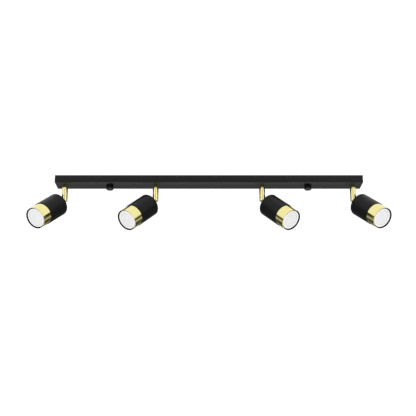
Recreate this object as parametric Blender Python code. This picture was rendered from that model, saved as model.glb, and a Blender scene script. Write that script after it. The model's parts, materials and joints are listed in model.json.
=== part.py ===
"""Four-head track lighting fixture: a ceiling bar with four adjustable spot heads.

World frame: the origin is on the ceiling plane at the middle of the bar, +X runs along the
bar, -Y faces the room's viewer and +Z points up. The driving dimensions are in millimetres
and every mesh is made in metres.
"""

import math

import bmesh
import bpy
from mathutils import Euler, Matrix, Vector

MM = 0.001
GAP = 0.3  # clearance kept between neighbouring pieces

# Ceiling bar, a folded channel that is open towards the ceiling
BAR_LENGTH = 800.0
BAR_DEPTH = 53.0
BAR_BOTTOM = -20.0
BAR_TOP = -0.2
SHEET = 1.2
FOLD_RADIUS = 1.0

# Ceiling strip and the two studs that carry the bar
STRIP_LENGTH = 560.0
STRIP_WIDTH = 30.0
STRIP_THICKNESS = 1.5
STRIP_CORNER = 4.0
CABLE_HOLE_X = 40.0
CABLE_HOLE_RADIUS = 8.0
SLOT_X = 200.0
SLOT_LENGTH = 16.0
SLOT_WIDTH = 5.4
STUD_X = 259.0
STUD_RADIUS = 2.5
STUD_BOTTOM = -27.4
STUD_HEAD_RADIUS = 4.5
STUD_HEAD_DEPTH = 1.43
STUD_HEAD_TOP = -0.1

# Knob nuts under the bar
KNOB_RADIUS = 9.3
KNOB_TOP = BAR_BOTTOM - GAP
KNOB_BOTTOM = -31.5
KNOB_BORE_RADIUS = STUD_RADIUS + 0.4
KNOB_BORE_END = -28.2

# Wiring inside the bar
BLOCK_SIZE = (17.0, 30.0, 11.0)
BLOCK_FLOOR = -18.4
POLE_SPACING = 9.0
POLE_RADIUS = 1.8
POLE_RISE = 5.0
WELL_RADIUS = 2.0
WELL_X = 4.5
EARTH_X = 62.0
EARTH_RADIUS = 2.0
EARTH_HEIGHT = 7.4
EARTH_HEAD_RADIUS = 3.6
EARTH_HEAD_HEIGHT = 1.6
LEAD_RADIUS = 1.6
LEAD_FLOOR = -15.5
LEAD_PEAK = -4.3
LEAD_END = -34.0
LEAD_LANES = {"inner": 12.0, "outer": 18.0}
LEAD_START_X = 13.0

# Stems: place along the bar, aim round the bar and droop below the horizontal
STEM_X_OUTER = 376.2
STEM_X_INNER = 139.2
AIM_OUTER = 53.85
AIM_INNER = 45.02
DROOP_OUTER = 36.53
DROOP_INNER = 37.71
STEM_RADIUS = 7.6
STEM_LENGTH = 42.36
STEM_BORE = 3.0
NIPPLE_RADIUS = 4.9
NIPPLE_TOP = 8.0
FORK_SLOT = 4.6
FORK_SLOT_TOP = 8.5
FORK_WEB = 4.6
NUT_ACROSS_FLATS = 14.0
NUT_HEIGHT = 3.2

# Tilt hinge, measured up from the stem's lower end
HINGE_RISE = 7.5
PIN_RADIUS = 1.6
PIN_HALF_LENGTH = 7.25

# Knuckle, with X along the head's axis from the hinge
HINGE_OFFSET = 4.9
TONGUE_THICKNESS = 4.0
TONGUE_HALF_WIDTH = 4.2
FLANGE_RADIUS = 9.6
FLANGE_BACK = 27.6
BOSS_RADIUS = 4.0
BOSS_END = 36.0
LEAD_HOLE_OFFSET = 12.9
LEAD_HOLE_RADIUS = 2.2
SLEEVE_CLEARANCE = 6.2
SLEEVE_END = 37.0

# Spot head, all stations along its axis from the hinge
HOUSING_BACK = 30.7
HOUSING_FRONT = 95.1
HOUSING_RADIUS = 29.48
HOUSING_WALL = 1.0
CAP_WALL = 1.5
CAP_EDGE = 1.4
RING_FRONT = 124.6
RING_BACK = 79.6
RING_RADIUS = 28.12
RING_WALL = 1.2
BRACKET_BACK = HOUSING_BACK + CAP_WALL + GAP
BRACKET_FRONT = 52.7
BRACKET_HALF_SPAN = 14.0
BRACKET_HALF_WIDTH = 6.5
BRACKET_SHEET = 1.2
HOLDER_BACK = BRACKET_FRONT + GAP
HOLDER_FACE = 69.3
HOLDER_RADIUS = 13.5
HOLDER_PLATE = 2.6
HOLDER_CHAMBER = 61.4

# Bayonet lamp with two pins ten millimetres apart
LAMP_FACE = 122.2
LAMP_RADIUS = 24.96
LENS_SEAT_RADIUS = 20.4
LENS_SEAT = 119.6
LAMP_BACK = 78.3
LAMP_NECK_RADIUS = 12.6
LAMP_RIM_DEPTH = 5.0
LAMP_WAIST = 90.0
LAMP_WAIST_RADIUS = 16.5
LAMP_CUP_BACK = 84.0
LAMP_CUP_RADIUS = 11.0
LAMP_BASE_BACK = HOLDER_FACE + GAP
LAMP_BASE_RADIUS = 10.5
PIN_CIRCLE_RADIUS = 5.0
PIN_NECK_RADIUS = 1.6
PIN_HEAD_RADIUS = 2.5
PIN_HEAD_FRONT = 66.4
PIN_HEAD_BACK = 62.4
BAYONET_TURN = 15.0
BAYONET_CLEARANCE = 0.4

SEGMENTS = 32
LAMP_SEGMENTS = 24
STEM_SEGMENTS = 20
FINE_SEGMENTS = 16

FINISHES = {
    "black_coat": ((0.020, 0.020, 0.022), 0.42, 0.0),
    "gold_plate": ((0.86, 0.71, 0.33), 0.14, 1.0),
    "zinc_steel": ((0.62, 0.63, 0.64), 0.35, 1.0),
    "brass": ((0.78, 0.60, 0.28), 0.30, 1.0),
    "black_sleeve": ((0.015, 0.015, 0.015), 0.60, 0.0),
    "white_sleeve": ((0.80, 0.80, 0.77), 0.55, 0.0),
    "terminal_plastic": ((0.85, 0.84, 0.80), 0.45, 0.0),
    "ceramic": ((0.86, 0.83, 0.77), 0.50, 0.0),
    "lamp_white": ((0.90, 0.90, 0.90), 0.35, 0.0),
    "opal_lens": ((0.88, 0.88, 0.88), 0.45, 0.0),
    "knob_black": ((0.012, 0.012, 0.013), 0.35, 0.0),
}


def clear_scene():
    for obj in list(bpy.data.objects):
        bpy.data.objects.remove(obj, do_unlink=True)


def finish_material(part_name, finish):
    """A Principled material of its own for each kind of part."""
    name = f"{part_name}_{finish}"
    if name in bpy.data.materials:
        return bpy.data.materials[name]
    colour, roughness, metallic = FINISHES[finish]
    material = bpy.data.materials.new(name)
    material.use_nodes = True
    shader = material.node_tree.nodes["Principled BSDF"]
    shader.inputs["Base Color"].default_value = (*colour, 1.0)
    shader.inputs["Roughness"].default_value = roughness
    shader.inputs["Metallic"].default_value = metallic
    return material


def mesh_from(bm, name):
    """Closes a bmesh into a mesh in metres with outward normals."""
    bmesh.ops.recalc_face_normals(bm, faces=bm.faces)
    bmesh.ops.scale(bm, vec=(MM, MM, MM), verts=bm.verts)
    mesh = bpy.data.meshes.new(name)
    bm.to_mesh(mesh)
    bm.free()
    return mesh


def turned(name, profile, segments=SEGMENTS, axis="Z"):
    """A turned solid. The profile holds (radius, station) and closes on itself or on the axis."""
    bm = bmesh.new()
    verts = [bm.verts.new((radius, 0.0, station)) for radius, station in profile]
    edges = [bm.edges.new(pair) for pair in zip(verts, verts[1:])]
    if profile[0][0] > 0.0:
        edges.append(bm.edges.new((verts[-1], verts[0])))
    bmesh.ops.spin(
        bm, geom=verts + edges, cent=(0, 0, 0), axis=(0, 0, 1), dvec=(0, 0, 0),
        angle=math.tau, steps=segments, use_merge=True, use_duplicate=False,
    )
    bmesh.ops.remove_doubles(bm, verts=bm.verts, dist=1e-4)
    if axis == "X":
        bmesh.ops.rotate(bm, verts=bm.verts, matrix=Matrix.Rotation(math.pi / 2, 3, "Y"))
    if axis == "Y":
        bmesh.ops.rotate(bm, verts=bm.verts, matrix=Matrix.Rotation(-math.pi / 2, 3, "X"))
    return mesh_from(bm, name)


def block(name, low, high):
    """A plain box between two corners."""
    bm = box_bmesh(low, high)
    return mesh_from(bm, name)


def box_bmesh(low, high):
    low, high = Vector(low), Vector(high)
    bm = bmesh.new()
    bmesh.ops.create_cube(bm, size=1.0)
    bmesh.ops.scale(bm, vec=high - low, verts=bm.verts)
    bmesh.ops.translate(bm, vec=(low + high) / 2, verts=bm.verts)
    return bm


def prism(name, outlines, low, high, axis):
    """Closed outlines extruded from low to high along an axis, as one mesh."""
    bm = bmesh.new()
    for outline in outlines:
        face = bm.faces.new([bm.verts.new((u, v, low)) for u, v in outline])
        moved = bmesh.ops.extrude_face_region(bm, geom=[face])
        tops = [item for item in moved["geom"] if isinstance(item, bmesh.types.BMVert)]
        bmesh.ops.translate(bm, vec=(0, 0, high - low), verts=tops)
    turns = {
        "X": Matrix(((0, 0, 1), (1, 0, 0), (0, 1, 0))),
        "Y": Matrix(((1, 0, 0), (0, 0, 1), (0, 1, 0))),
        "Z": Matrix.Identity(3),
    }
    bmesh.ops.transform(bm, matrix=turns[axis].to_4x4(), verts=bm.verts)
    return mesh_from(bm, name)


def circle(centre, radius, segments=FINE_SEGMENTS):
    return [
        (centre[0] + radius * math.cos(math.tau * i / segments),
         centre[1] + radius * math.sin(math.tau * i / segments))
        for i in range(segments)
    ]


def arc(centre, radius, start, end, steps):
    """Points of an arc in degrees, both ends included."""
    angles = [math.radians(start + (end - start) * i / steps) for i in range(steps + 1)]
    return [(centre[0] + radius * math.cos(a), centre[1] + radius * math.sin(a)) for a in angles]


def long_slot(centre, length, width):
    """A slot with round ends, lengthwise along the first axis."""
    half = (length - width) / 2
    right = arc((centre[0] + half, centre[1]), width / 2, -90, 90, 6)
    left = arc((centre[0] - half, centre[1]), width / 2, 90, 270, 6)
    return right + left


def curved_slot(half_width, start, end):
    """A slot with round ends that follows the pin circle between two angles."""
    def on_circle(angle):
        a = math.radians(angle)
        return (PIN_CIRCLE_RADIUS * math.cos(a), PIN_CIRCLE_RADIUS * math.sin(a))

    outer = arc((0, 0), PIN_CIRCLE_RADIUS + half_width, start, end, 3)[1:-1]
    far_end = arc(on_circle(end), half_width, end, end + 180, 6)
    inner = arc((0, 0), PIN_CIRCLE_RADIUS - half_width, end, start, 3)[1:-1]
    near_end = arc(on_circle(start), half_width, start + 180, start + 360, 6)
    return outer + far_end + inner + near_end


def boolean(obj, mesh, operation="DIFFERENCE"):
    """Adds a Boolean with a hidden helper that holds the mesh."""
    helper = bpy.data.objects.new(f"{obj.name}_helper", mesh)
    bpy.context.collection.objects.link(helper)
    helper.hide_render = True
    helper.display_type = "WIRE"
    modifier = obj.modifiers.new("boolean", "BOOLEAN")
    modifier.operation = operation
    modifier.solver = "EXACT"
    modifier.object = helper


def carved(name, mesh, cuts=(), unions=()):
    """The mesh after its unions and cuts, with the helpers removed."""
    body = bpy.data.objects.new(name, mesh)
    bpy.context.collection.objects.link(body)
    for other in unions:
        boolean(body, other, "UNION")
    for cutter in cuts:
        boolean(body, cutter)
    graph = bpy.context.evaluated_depsgraph_get()
    result = bpy.data.meshes.new_from_object(body.evaluated_get(graph))
    for obj in [body] + [m.object for m in body.modifiers]:
        bpy.data.objects.remove(obj, do_unlink=True)
    result.name = name
    return result


def place(name, mesh, kind, finish, parent=None, location=(0, 0, 0), smooth=True):
    """Puts a finished mesh in the scene as the named part."""
    obj = bpy.data.objects.new(name, mesh)
    bpy.context.collection.objects.link(obj)
    obj.location = Vector(location) * MM
    obj.parent = parent
    if not mesh.materials:
        mesh.materials.append(finish_material(kind, finish))
        if smooth:
            mesh.shade_smooth()
            mesh.set_sharp_from_angle(angle=math.radians(30))
    return obj


def axis_empty(name, location, rotation, parent=None):
    empty = bpy.data.objects.new(name, None)
    bpy.context.collection.objects.link(empty)
    empty.location = Vector(location) * MM
    empty.rotation_euler = Euler(rotation)
    empty.parent = parent
    empty.empty_display_size = 10 * MM
    return empty


def smooth_route(points, steps):
    """A smooth curve through the route's points, with the given steps in each span."""
    points = [Vector(p) for p in points]
    padded = [2 * points[0] - points[1]] + points + [2 * points[-1] - points[-2]]
    route = []
    for before, start, end, after in zip(padded, padded[1:], padded[2:], padded[3:]):
        for i in range(steps):
            t = i / steps
            route.append(0.5 * (
                2 * start + (end - before) * t
                + (2 * before - 5 * start + 4 * end - after) * t ** 2
                + (3 * start - before - 3 * end + after) * t ** 3
            ))
    route.append(points[-1])
    return route


def lead(name, route, kind, finish, parent=None, steps=2):
    """A round lead as a curve with a bevel and filled caps."""
    curve = bpy.data.curves.new(name, "CURVE")
    curve.dimensions = "3D"
    curve.bevel_depth = LEAD_RADIUS * MM
    curve.bevel_resolution = 2
    curve.use_fill_caps = True
    points = smooth_route(route, steps)
    spline = curve.splines.new("POLY")
    spline.points.add(len(points) - 1)
    for knot, point in zip(spline.points, points):
        knot.co = (*(point * MM), 1.0)
    curve.materials.append(finish_material(kind, finish))
    obj = bpy.data.objects.new(name, curve)
    bpy.context.collection.objects.link(obj)
    obj.parent = parent
    return obj


def bar_mesh():
    """The folded channel: a box with an open top, eased folds and drilled floor."""
    half_length, half_depth = BAR_LENGTH / 2, BAR_DEPTH / 2
    bm = box_bmesh((-half_length, -half_depth, BAR_BOTTOM), (half_length, half_depth, BAR_TOP))
    top = max(bm.faces, key=lambda face: face.calc_center_median().z)
    bmesh.ops.inset_region(bm, faces=[top], thickness=SHEET)
    sunk = bmesh.ops.extrude_face_region(bm, geom=[top])
    floor = [item for item in sunk["geom"] if isinstance(item, bmesh.types.BMVert)]
    bmesh.ops.translate(bm, vec=(0, 0, BAR_BOTTOM + SHEET - BAR_TOP), verts=floor)
    bmesh.ops.delete(bm, geom=[top], context="FACES_ONLY")
    outside = [
        edge for edge in bm.edges
        if all(abs(abs(v.co.x) - half_length) < 0.01 or abs(abs(v.co.y) - half_depth) < 0.01
               for v in edge.verts)
        and not all(abs(v.co.z - BAR_TOP) < 0.01 for v in edge.verts)
    ]
    bmesh.ops.bevel(bm, geom=outside, offset=FOLD_RADIUS, segments=2, profile=0.5, affect="EDGES")
    holes = [circle((x, 0), NIPPLE_RADIUS + 0.4, 24) for x in stem_places()]
    holes += [circle((x, 0), STUD_RADIUS + 0.4) for x in (-STUD_X, STUD_X)]
    drill = prism("bar_drill", holes, BAR_BOTTOM - 2, BAR_BOTTOM + SHEET + 2, "Z")
    return carved("bar_channel", mesh_from(bm, "bar_channel"), cuts=[drill])


def strip_mesh():
    """The flat ceiling strip with its screw slots, cable hole and countersunk stud holes."""
    bm = box_bmesh(
        (-STRIP_LENGTH / 2, -STRIP_WIDTH / 2, -STRIP_THICKNESS), (STRIP_LENGTH / 2, STRIP_WIDTH / 2, 0)
    )
    corners = [e for e in bm.edges if abs(e.verts[0].co.z - e.verts[1].co.z) > 0.1]
    bmesh.ops.bevel(bm, geom=corners, offset=STRIP_CORNER, segments=4, profile=0.5, affect="EDGES")
    outlines = [long_slot((x, 0), SLOT_LENGTH, SLOT_WIDTH) for x in (-SLOT_X, SLOT_X)]
    outlines.append(circle((CABLE_HOLE_X, 0), CABLE_HOLE_RADIUS, 24))
    punch = prism("strip_punch", outlines, -STRIP_THICKNESS - 2, 2, "Z")
    slope = (STUD_HEAD_RADIUS - STUD_RADIUS) / STUD_HEAD_DEPTH
    low, high = -STRIP_THICKNESS - 0.5, 0.5
    mouth = STUD_HEAD_RADIUS + 0.5
    sinks = []
    for x in (-STUD_X, STUD_X):
        cone = [(0, high), (mouth + slope * high, high), (mouth + slope * low, low), (0, low)]
        sink = turned("strip_sink", cone, FINE_SEGMENTS)
        sink.transform(Matrix.Translation((x * MM, 0, 0)))
        sinks.append(sink)
    return carved("ceiling_strip", mesh_from(bm, "ceiling_strip"), cuts=[punch] + sinks)


def stud_mesh():
    neck = STUD_HEAD_TOP - STUD_HEAD_DEPTH
    profile = [
        (0, STUD_HEAD_TOP), (STUD_HEAD_RADIUS, STUD_HEAD_TOP), (STUD_RADIUS, neck),
        (STUD_RADIUS, STUD_BOTTOM + 0.5), (STUD_RADIUS - 0.5, STUD_BOTTOM), (0, STUD_BOTTOM),
    ]
    return turned("fixing_stud", profile, FINE_SEGMENTS)


def knob_mesh():
    """A blind cap nut with an eased top edge and a domed lower edge."""
    profile = [
        (0, KNOB_BORE_END), (KNOB_BORE_RADIUS, KNOB_BORE_END), (KNOB_BORE_RADIUS, KNOB_TOP),
        (KNOB_RADIUS - 0.4, KNOB_TOP), (KNOB_RADIUS, KNOB_TOP - 0.4),
        (KNOB_RADIUS, KNOB_BOTTOM + 1.7), (KNOB_RADIUS - 0.45, KNOB_BOTTOM + 0.8),
        (KNOB_RADIUS - 1.3, KNOB_BOTTOM + 0.2), (KNOB_RADIUS - 2.3, KNOB_BOTTOM), (0, KNOB_BOTTOM),
    ]
    return turned("knob_nut", profile, 24)


def terminal_mesh():
    """The three-pole terminal block with its wire tunnels and screw wells."""
    length, width, height = BLOCK_SIZE
    low = (-length / 2, -width / 2, BLOCK_FLOOR)
    high = (length / 2, width / 2, BLOCK_FLOOR + height)
    poles = [POLE_SPACING * (i - 1) for i in range(3)]
    pole_height = BLOCK_FLOOR + POLE_RISE
    tunnels = prism(
        "tunnels", [circle((y, pole_height), POLE_RADIUS, 12) for y in poles], -length, length, "X"
    )
    wells = prism(
        "wells", [circle((x, y), WELL_RADIUS, 12) for y in poles for x in (-WELL_X, WELL_X)],
        pole_height, high[2] + 2, "Z",
    )
    bm = box_bmesh(low, high)
    bmesh.ops.bevel(bm, geom=bm.edges[:], offset=0.6, segments=1, affect="EDGES")
    return carved("terminal_block", mesh_from(bm, "terminal_block"), cuts=[tunnels, wells])


def earth_stud_mesh():
    floor = BAR_BOTTOM + SHEET + GAP
    neck, tip = floor + EARTH_HEAD_HEIGHT, floor + EARTH_HEIGHT
    profile = [
        (0, floor), (EARTH_HEAD_RADIUS, floor), (EARTH_HEAD_RADIUS, neck), (EARTH_RADIUS, neck),
        (EARTH_RADIUS, tip - 0.4), (EARTH_RADIUS - 0.4, tip), (0, tip),
    ]
    return turned("earth_stud", profile, FINE_SEGMENTS)


def stem_mesh():
    """A bored stem with a threaded nipple on top and a slotted fork at its lower end."""
    slot_top = -STEM_LENGTH + HINGE_RISE + FORK_SLOT_TOP
    profile = [
        (0, slot_top - 1.0), (STEM_BORE, slot_top - 1.0), (STEM_BORE, NIPPLE_TOP),
        (NIPPLE_RADIUS - 0.4, NIPPLE_TOP), (NIPPLE_RADIUS, NIPPLE_TOP - 0.4),
        (NIPPLE_RADIUS, -GAP), (STEM_RADIUS - 0.3, -GAP), (STEM_RADIUS, -GAP - 0.3),
        (STEM_RADIUS, -STEM_LENGTH + 0.4), (STEM_RADIUS - 0.4, -STEM_LENGTH), (0, -STEM_LENGTH),
    ]
    slot = block(
        "fork_slot", (-FORK_WEB, -FORK_SLOT / 2, -STEM_LENGTH - 2),
        (STEM_RADIUS + 2, FORK_SLOT / 2, slot_top),
    )
    hole = prism(
        "pin_hole", [circle((0, -STEM_LENGTH + HINGE_RISE), PIN_RADIUS + GAP, 12)],
        -STEM_RADIUS - 2, STEM_RADIUS + 2, "Y",
    )
    return carved("stem", turned("stem", profile, STEM_SEGMENTS), cuts=[slot, hole])


def nut_mesh():
    """The hexagon nut that draws the stem up against the bar's floor."""
    corner = NUT_ACROSS_FLATS / 2 / math.cos(math.pi / 6)
    low = SHEET + GAP
    hexagon = prism("stem_nut", [circle((0, 0), corner, 6)], low, low + NUT_HEIGHT, "Z")
    bore = prism("nut_bore", [circle((0, 0), NIPPLE_RADIUS + 0.35, 24)], low - 1, low + 9, "Z")
    return carved("stem_nut", hexagon, cuts=[bore])


def pin_mesh():
    end = PIN_HALF_LENGTH
    profile = [(0, -end), (PIN_RADIUS - 0.2, -end), (PIN_RADIUS, -end + 0.2),
               (PIN_RADIUS, end - 0.2), (PIN_RADIUS - 0.2, end), (0, end)]
    return turned("hinge_pin", profile, 12, "Y")


def knuckle_mesh():
    """The tongue that hangs on the pin, with the flange and boss that carry the head."""
    eye = arc((0, 0), TONGUE_HALF_WIDTH, 90, 270, 10)
    foot = FLANGE_BACK + 1.0
    outline = eye + [(foot, -TONGUE_HALF_WIDTH), (foot, TONGUE_HALF_WIDTH)]
    half = TONGUE_THICKNESS / 2
    tongue = prism("tilt_knuckle", [outline], -half, half, "Y")
    flange_front = HOUSING_BACK - GAP
    profile = [
        (0, FLANGE_BACK), (FLANGE_RADIUS - 0.8, FLANGE_BACK), (FLANGE_RADIUS, FLANGE_BACK + 0.8),
        (FLANGE_RADIUS, flange_front), (BOSS_RADIUS, flange_front), (BOSS_RADIUS, BOSS_END),
        (0, BOSS_END),
    ]
    flange = turned("flange", profile, 24, "X")
    flange.transform(Matrix.Translation((0, 0, -HINGE_OFFSET * MM)))
    hole = prism("eye_hole", [circle((0, 0), PIN_RADIUS + GAP, 12)], -half - 1, half + 1, "Y")
    return carved("tilt_knuckle", tongue, cuts=[hole], unions=[flange])


def housing_mesh():
    """The spun can of the head, open at the front, with its boss and lead holes."""
    inner = HOUSING_RADIUS - HOUSING_WALL
    hole = BOSS_RADIUS + 0.4
    edge = arc((HOUSING_RADIUS - CAP_EDGE, HOUSING_BACK + CAP_EDGE), CAP_EDGE, -90, 0, 3)
    profile = [(hole, HOUSING_BACK)] + edge + [
        (HOUSING_RADIUS, HOUSING_FRONT), (inner, HOUSING_FRONT),
        (inner, HOUSING_BACK + CAP_WALL), (hole, HOUSING_BACK + CAP_WALL),
    ]
    lead_hole = prism(
        "lead_hole", [circle((0, LEAD_HOLE_OFFSET), LEAD_HOLE_RADIUS)],
        HOUSING_BACK - 2, HOUSING_BACK + CAP_WALL + 2, "X",
    )
    return carved("head_housing", turned("head_housing", profile, SEGMENTS, "X"), cuts=[lead_hole])


def ring_mesh():
    inner = RING_RADIUS - RING_WALL
    profile = [
        (inner, RING_BACK), (RING_RADIUS, RING_BACK), (RING_RADIUS, RING_FRONT - 0.3),
        (RING_RADIUS - 0.3, RING_FRONT), (inner + 0.3, RING_FRONT), (inner, RING_FRONT - 0.3),
    ]
    return turned("trim_ring", profile, SEGMENTS, "X")


def bracket_mesh():
    """The bent strap that stands the lamp holder off the head's back."""
    outer = block(
        "holder_bracket", (BRACKET_BACK, -BRACKET_HALF_SPAN, -BRACKET_HALF_WIDTH),
        (BRACKET_FRONT, BRACKET_HALF_SPAN, BRACKET_HALF_WIDTH),
    )
    inside = block(
        "bracket_inside",
        (BRACKET_BACK + BRACKET_SHEET, BRACKET_SHEET - BRACKET_HALF_SPAN, -BRACKET_HALF_WIDTH - 2),
        (BRACKET_FRONT - BRACKET_SHEET, BRACKET_HALF_SPAN - BRACKET_SHEET, BRACKET_HALF_WIDTH + 2),
    )
    hole = prism(
        "boss_hole", [circle((0, 0), BOSS_RADIUS + 0.4)],
        BRACKET_BACK - 1, BRACKET_BACK + BRACKET_SHEET + 1, "X",
    )
    return carved("holder_bracket", outer, cuts=[inside, hole])


def holder_mesh():
    """The ceramic holder: two keyhole slots in its face plate open into a turning chamber."""
    profile = [
        (0, HOLDER_BACK), (HOLDER_RADIUS - 1.0, HOLDER_BACK), (HOLDER_RADIUS, HOLDER_BACK + 1.0),
        (HOLDER_RADIUS, HOLDER_FACE - 0.6), (HOLDER_RADIUS - 0.6, HOLDER_FACE), (0, HOLDER_FACE),
    ]
    neck = PIN_NECK_RADIUS + BAYONET_CLEARANCE
    head = PIN_HEAD_RADIUS + BAYONET_CLEARANCE
    sides = (0.0, 180.0)
    plate_back = HOLDER_FACE - HOLDER_PLATE
    slots = [curved_slot(neck, side, side + BAYONET_TURN) for side in sides]
    chambers = [curved_slot(head, side, side + BAYONET_TURN) for side in sides]
    entries = [circle(arc((0, 0), PIN_CIRCLE_RADIUS, side + BAYONET_TURN, side, 1)[0], head)
               for side in sides]
    face = HOLDER_FACE + 1
    cuts = [
        prism("pin_slots", slots, plate_back - 0.5, face, "X"),
        prism("pin_entries", entries, plate_back - 0.5, face, "X"),
        prism("pin_chambers", chambers, HOLDER_CHAMBER, plate_back, "X"),
    ]
    return carved("lamp_holder", turned("lamp_holder", profile, STEM_SEGMENTS, "X"), cuts=cuts)


def lamp_body_mesh():
    """The lamp's cup: a round rim, a tapering body and a seat for the lens."""
    profile = [
        (0, LAMP_CUP_BACK), (LAMP_CUP_RADIUS, LAMP_CUP_BACK),
        (LENS_SEAT_RADIUS - 1.4, LENS_SEAT), (LENS_SEAT_RADIUS, LENS_SEAT),
        (LENS_SEAT_RADIUS, LAMP_FACE - 0.3), (LENS_SEAT_RADIUS + 0.6, LAMP_FACE),
        (LAMP_RADIUS - 0.7, LAMP_FACE), (LAMP_RADIUS, LAMP_FACE - 0.7),
        (LAMP_RADIUS, LAMP_FACE - LAMP_RIM_DEPTH), (LAMP_RADIUS - 1.8, LAMP_FACE - 12.0),
        (LAMP_WAIST_RADIUS, LAMP_WAIST), (LAMP_NECK_RADIUS + 0.6, LAMP_BACK + 2.2),
        (LAMP_NECK_RADIUS, LAMP_BACK), (0, LAMP_BACK),
    ]
    return turned("lamp_body", profile, LAMP_SEGMENTS, "X")


def lens_mesh():
    edge = LENS_SEAT_RADIUS - GAP
    back = LENS_SEAT + GAP
    profile = [(0, back), (edge, back), (edge, LAMP_FACE - 0.8), (edge - 0.6, LAMP_FACE - 0.35),
               (edge / 2, LAMP_FACE - 0.1), (0, LAMP_FACE)]
    return turned("lamp_lens", profile, LAMP_SEGMENTS, "X")


def lamp_base_mesh():
    """The lamp's base with its two necked bayonet pins."""
    front = LAMP_BACK - GAP
    profile = [
        (0, LAMP_BASE_BACK), (LAMP_BASE_RADIUS - 1.0, LAMP_BASE_BACK),
        (LAMP_BASE_RADIUS, LAMP_BASE_BACK + 1.0), (LAMP_BASE_RADIUS, front - 0.6),
        (LAMP_BASE_RADIUS - 0.6, front), (0, front),
    ]
    pins = []
    for side in (-PIN_CIRCLE_RADIUS, PIN_CIRCLE_RADIUS):
        stations = [
            (0, PIN_HEAD_BACK), (PIN_HEAD_RADIUS - 0.5, PIN_HEAD_BACK),
            (PIN_HEAD_RADIUS, PIN_HEAD_BACK + 0.5), (PIN_HEAD_RADIUS, PIN_HEAD_FRONT),
            (PIN_NECK_RADIUS, PIN_HEAD_FRONT), (PIN_NECK_RADIUS, LAMP_BASE_BACK + 2),
            (0, LAMP_BASE_BACK + 2),
        ]
        pin = turned("bayonet_pin", stations, 12, "X")
        pin.transform(Matrix.Translation((0, side * MM, 0)))
        pins.append(pin)
    return carved("lamp_base", turned("lamp_base", profile, STEM_SEGMENTS, "X"), unions=pins)


def stem_places():
    """Stem places along the bar, from left to right."""
    return (-STEM_X_OUTER, -STEM_X_INNER, STEM_X_INNER, STEM_X_OUTER)


def lamp_lead_route(x, lane):
    """From beside the terminal block along the bar's floor, over the nipple and down the stem."""
    side = math.copysign(1.0, x)
    far = abs(x)
    run = (far - LEAD_START_X) / 3
    y = LEAD_LANES[lane]
    start = 3.0 if lane == "outer" else 0.0
    points = [
        (LEAD_START_X, y - start, LEAD_FLOOR), (LEAD_START_X + 14, y - start / 3, LEAD_FLOOR),
        (LEAD_START_X + run, y, LEAD_FLOOR), (far - run, y, LEAD_FLOOR),
        (far - 22, y - 0.5, LEAD_FLOOR), (far - 12, y - 3, LEAD_FLOOR + 4),
        (far - 5, y * 0.45, LEAD_PEAK - 1), (far - 1.2, y * 0.12, LEAD_PEAK - 0.8),
        (far, 0, LEAD_PEAK - 5.5), (far, 0, LEAD_PEAK - 14), (far, 0, LEAD_END),
    ]
    return [(side * px, py, pz) for px, py, pz in points]


def sleeve_route(droop):
    """In the stem's frame: down the bore, out over the tongue and through the head's back."""
    hinge = Vector((0, 0, -STEM_LENGTH + HINGE_RISE))
    tilt = Matrix.Rotation(math.radians(droop), 3, "Y")
    top = LEAD_END - BAR_BOTTOM - 0.6
    inside = [(0, 0, top), (0.1, 0, hinge.z + 14), (0.4, 0, hinge.z + 10.4)]
    lead_hole = LEAD_HOLE_OFFSET - HINGE_OFFSET
    along = [
        (-3.1, SLEEVE_CLEARANCE + 0.3), (1.8, SLEEVE_CLEARANCE), (8.0, SLEEVE_CLEARANCE + 0.5),
        (18.0, lead_hole + 0.6), (26.0, lead_hole + 0.2), (31.0, lead_hole), (SLEEVE_END, lead_hole),
    ]
    outside = [tuple(hinge + tilt @ Vector((station, 0, rise))) for station, rise in along]
    return inside + outside


def build_bar():
    place("bar_channel", bar_mesh(), "bar_channel", "black_coat")
    place("ceiling_strip", strip_mesh(), "ceiling_strip", "zinc_steel")
    place("terminal_block", terminal_mesh(), "terminal_block", "terminal_plastic")
    place("earth_stud", earth_stud_mesh(), "earth_stud", "brass", location=(EARTH_X, 0, 0))
    stud, knob = stud_mesh(), knob_mesh()
    for number, x in enumerate((-STUD_X, STUD_X), start=1):
        place(f"fixing_stud_{number}", stud, "fixing_stud", "zinc_steel", location=(x, 0, 0))
        axis = axis_empty(f"knob_axis_{number}", (x, 0, 0), (0, 0, 0))
        place(f"knob_nut_{number}", knob, "knob_nut", "knob_black", parent=axis)


def build_meshes():
    """Every repeated mesh of a spot, made once and shared by the four spots."""
    return {
        "stem": stem_mesh(), "stem_nut": nut_mesh(), "hinge_pin": pin_mesh(),
        "tilt_knuckle": knuckle_mesh(), "head_housing": housing_mesh(), "trim_ring": ring_mesh(),
        "holder_bracket": bracket_mesh(), "lamp_holder": holder_mesh(),
        "lamp_body": lamp_body_mesh(), "lamp_lens": lens_mesh(), "lamp_base": lamp_base_mesh(),
    }


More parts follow.
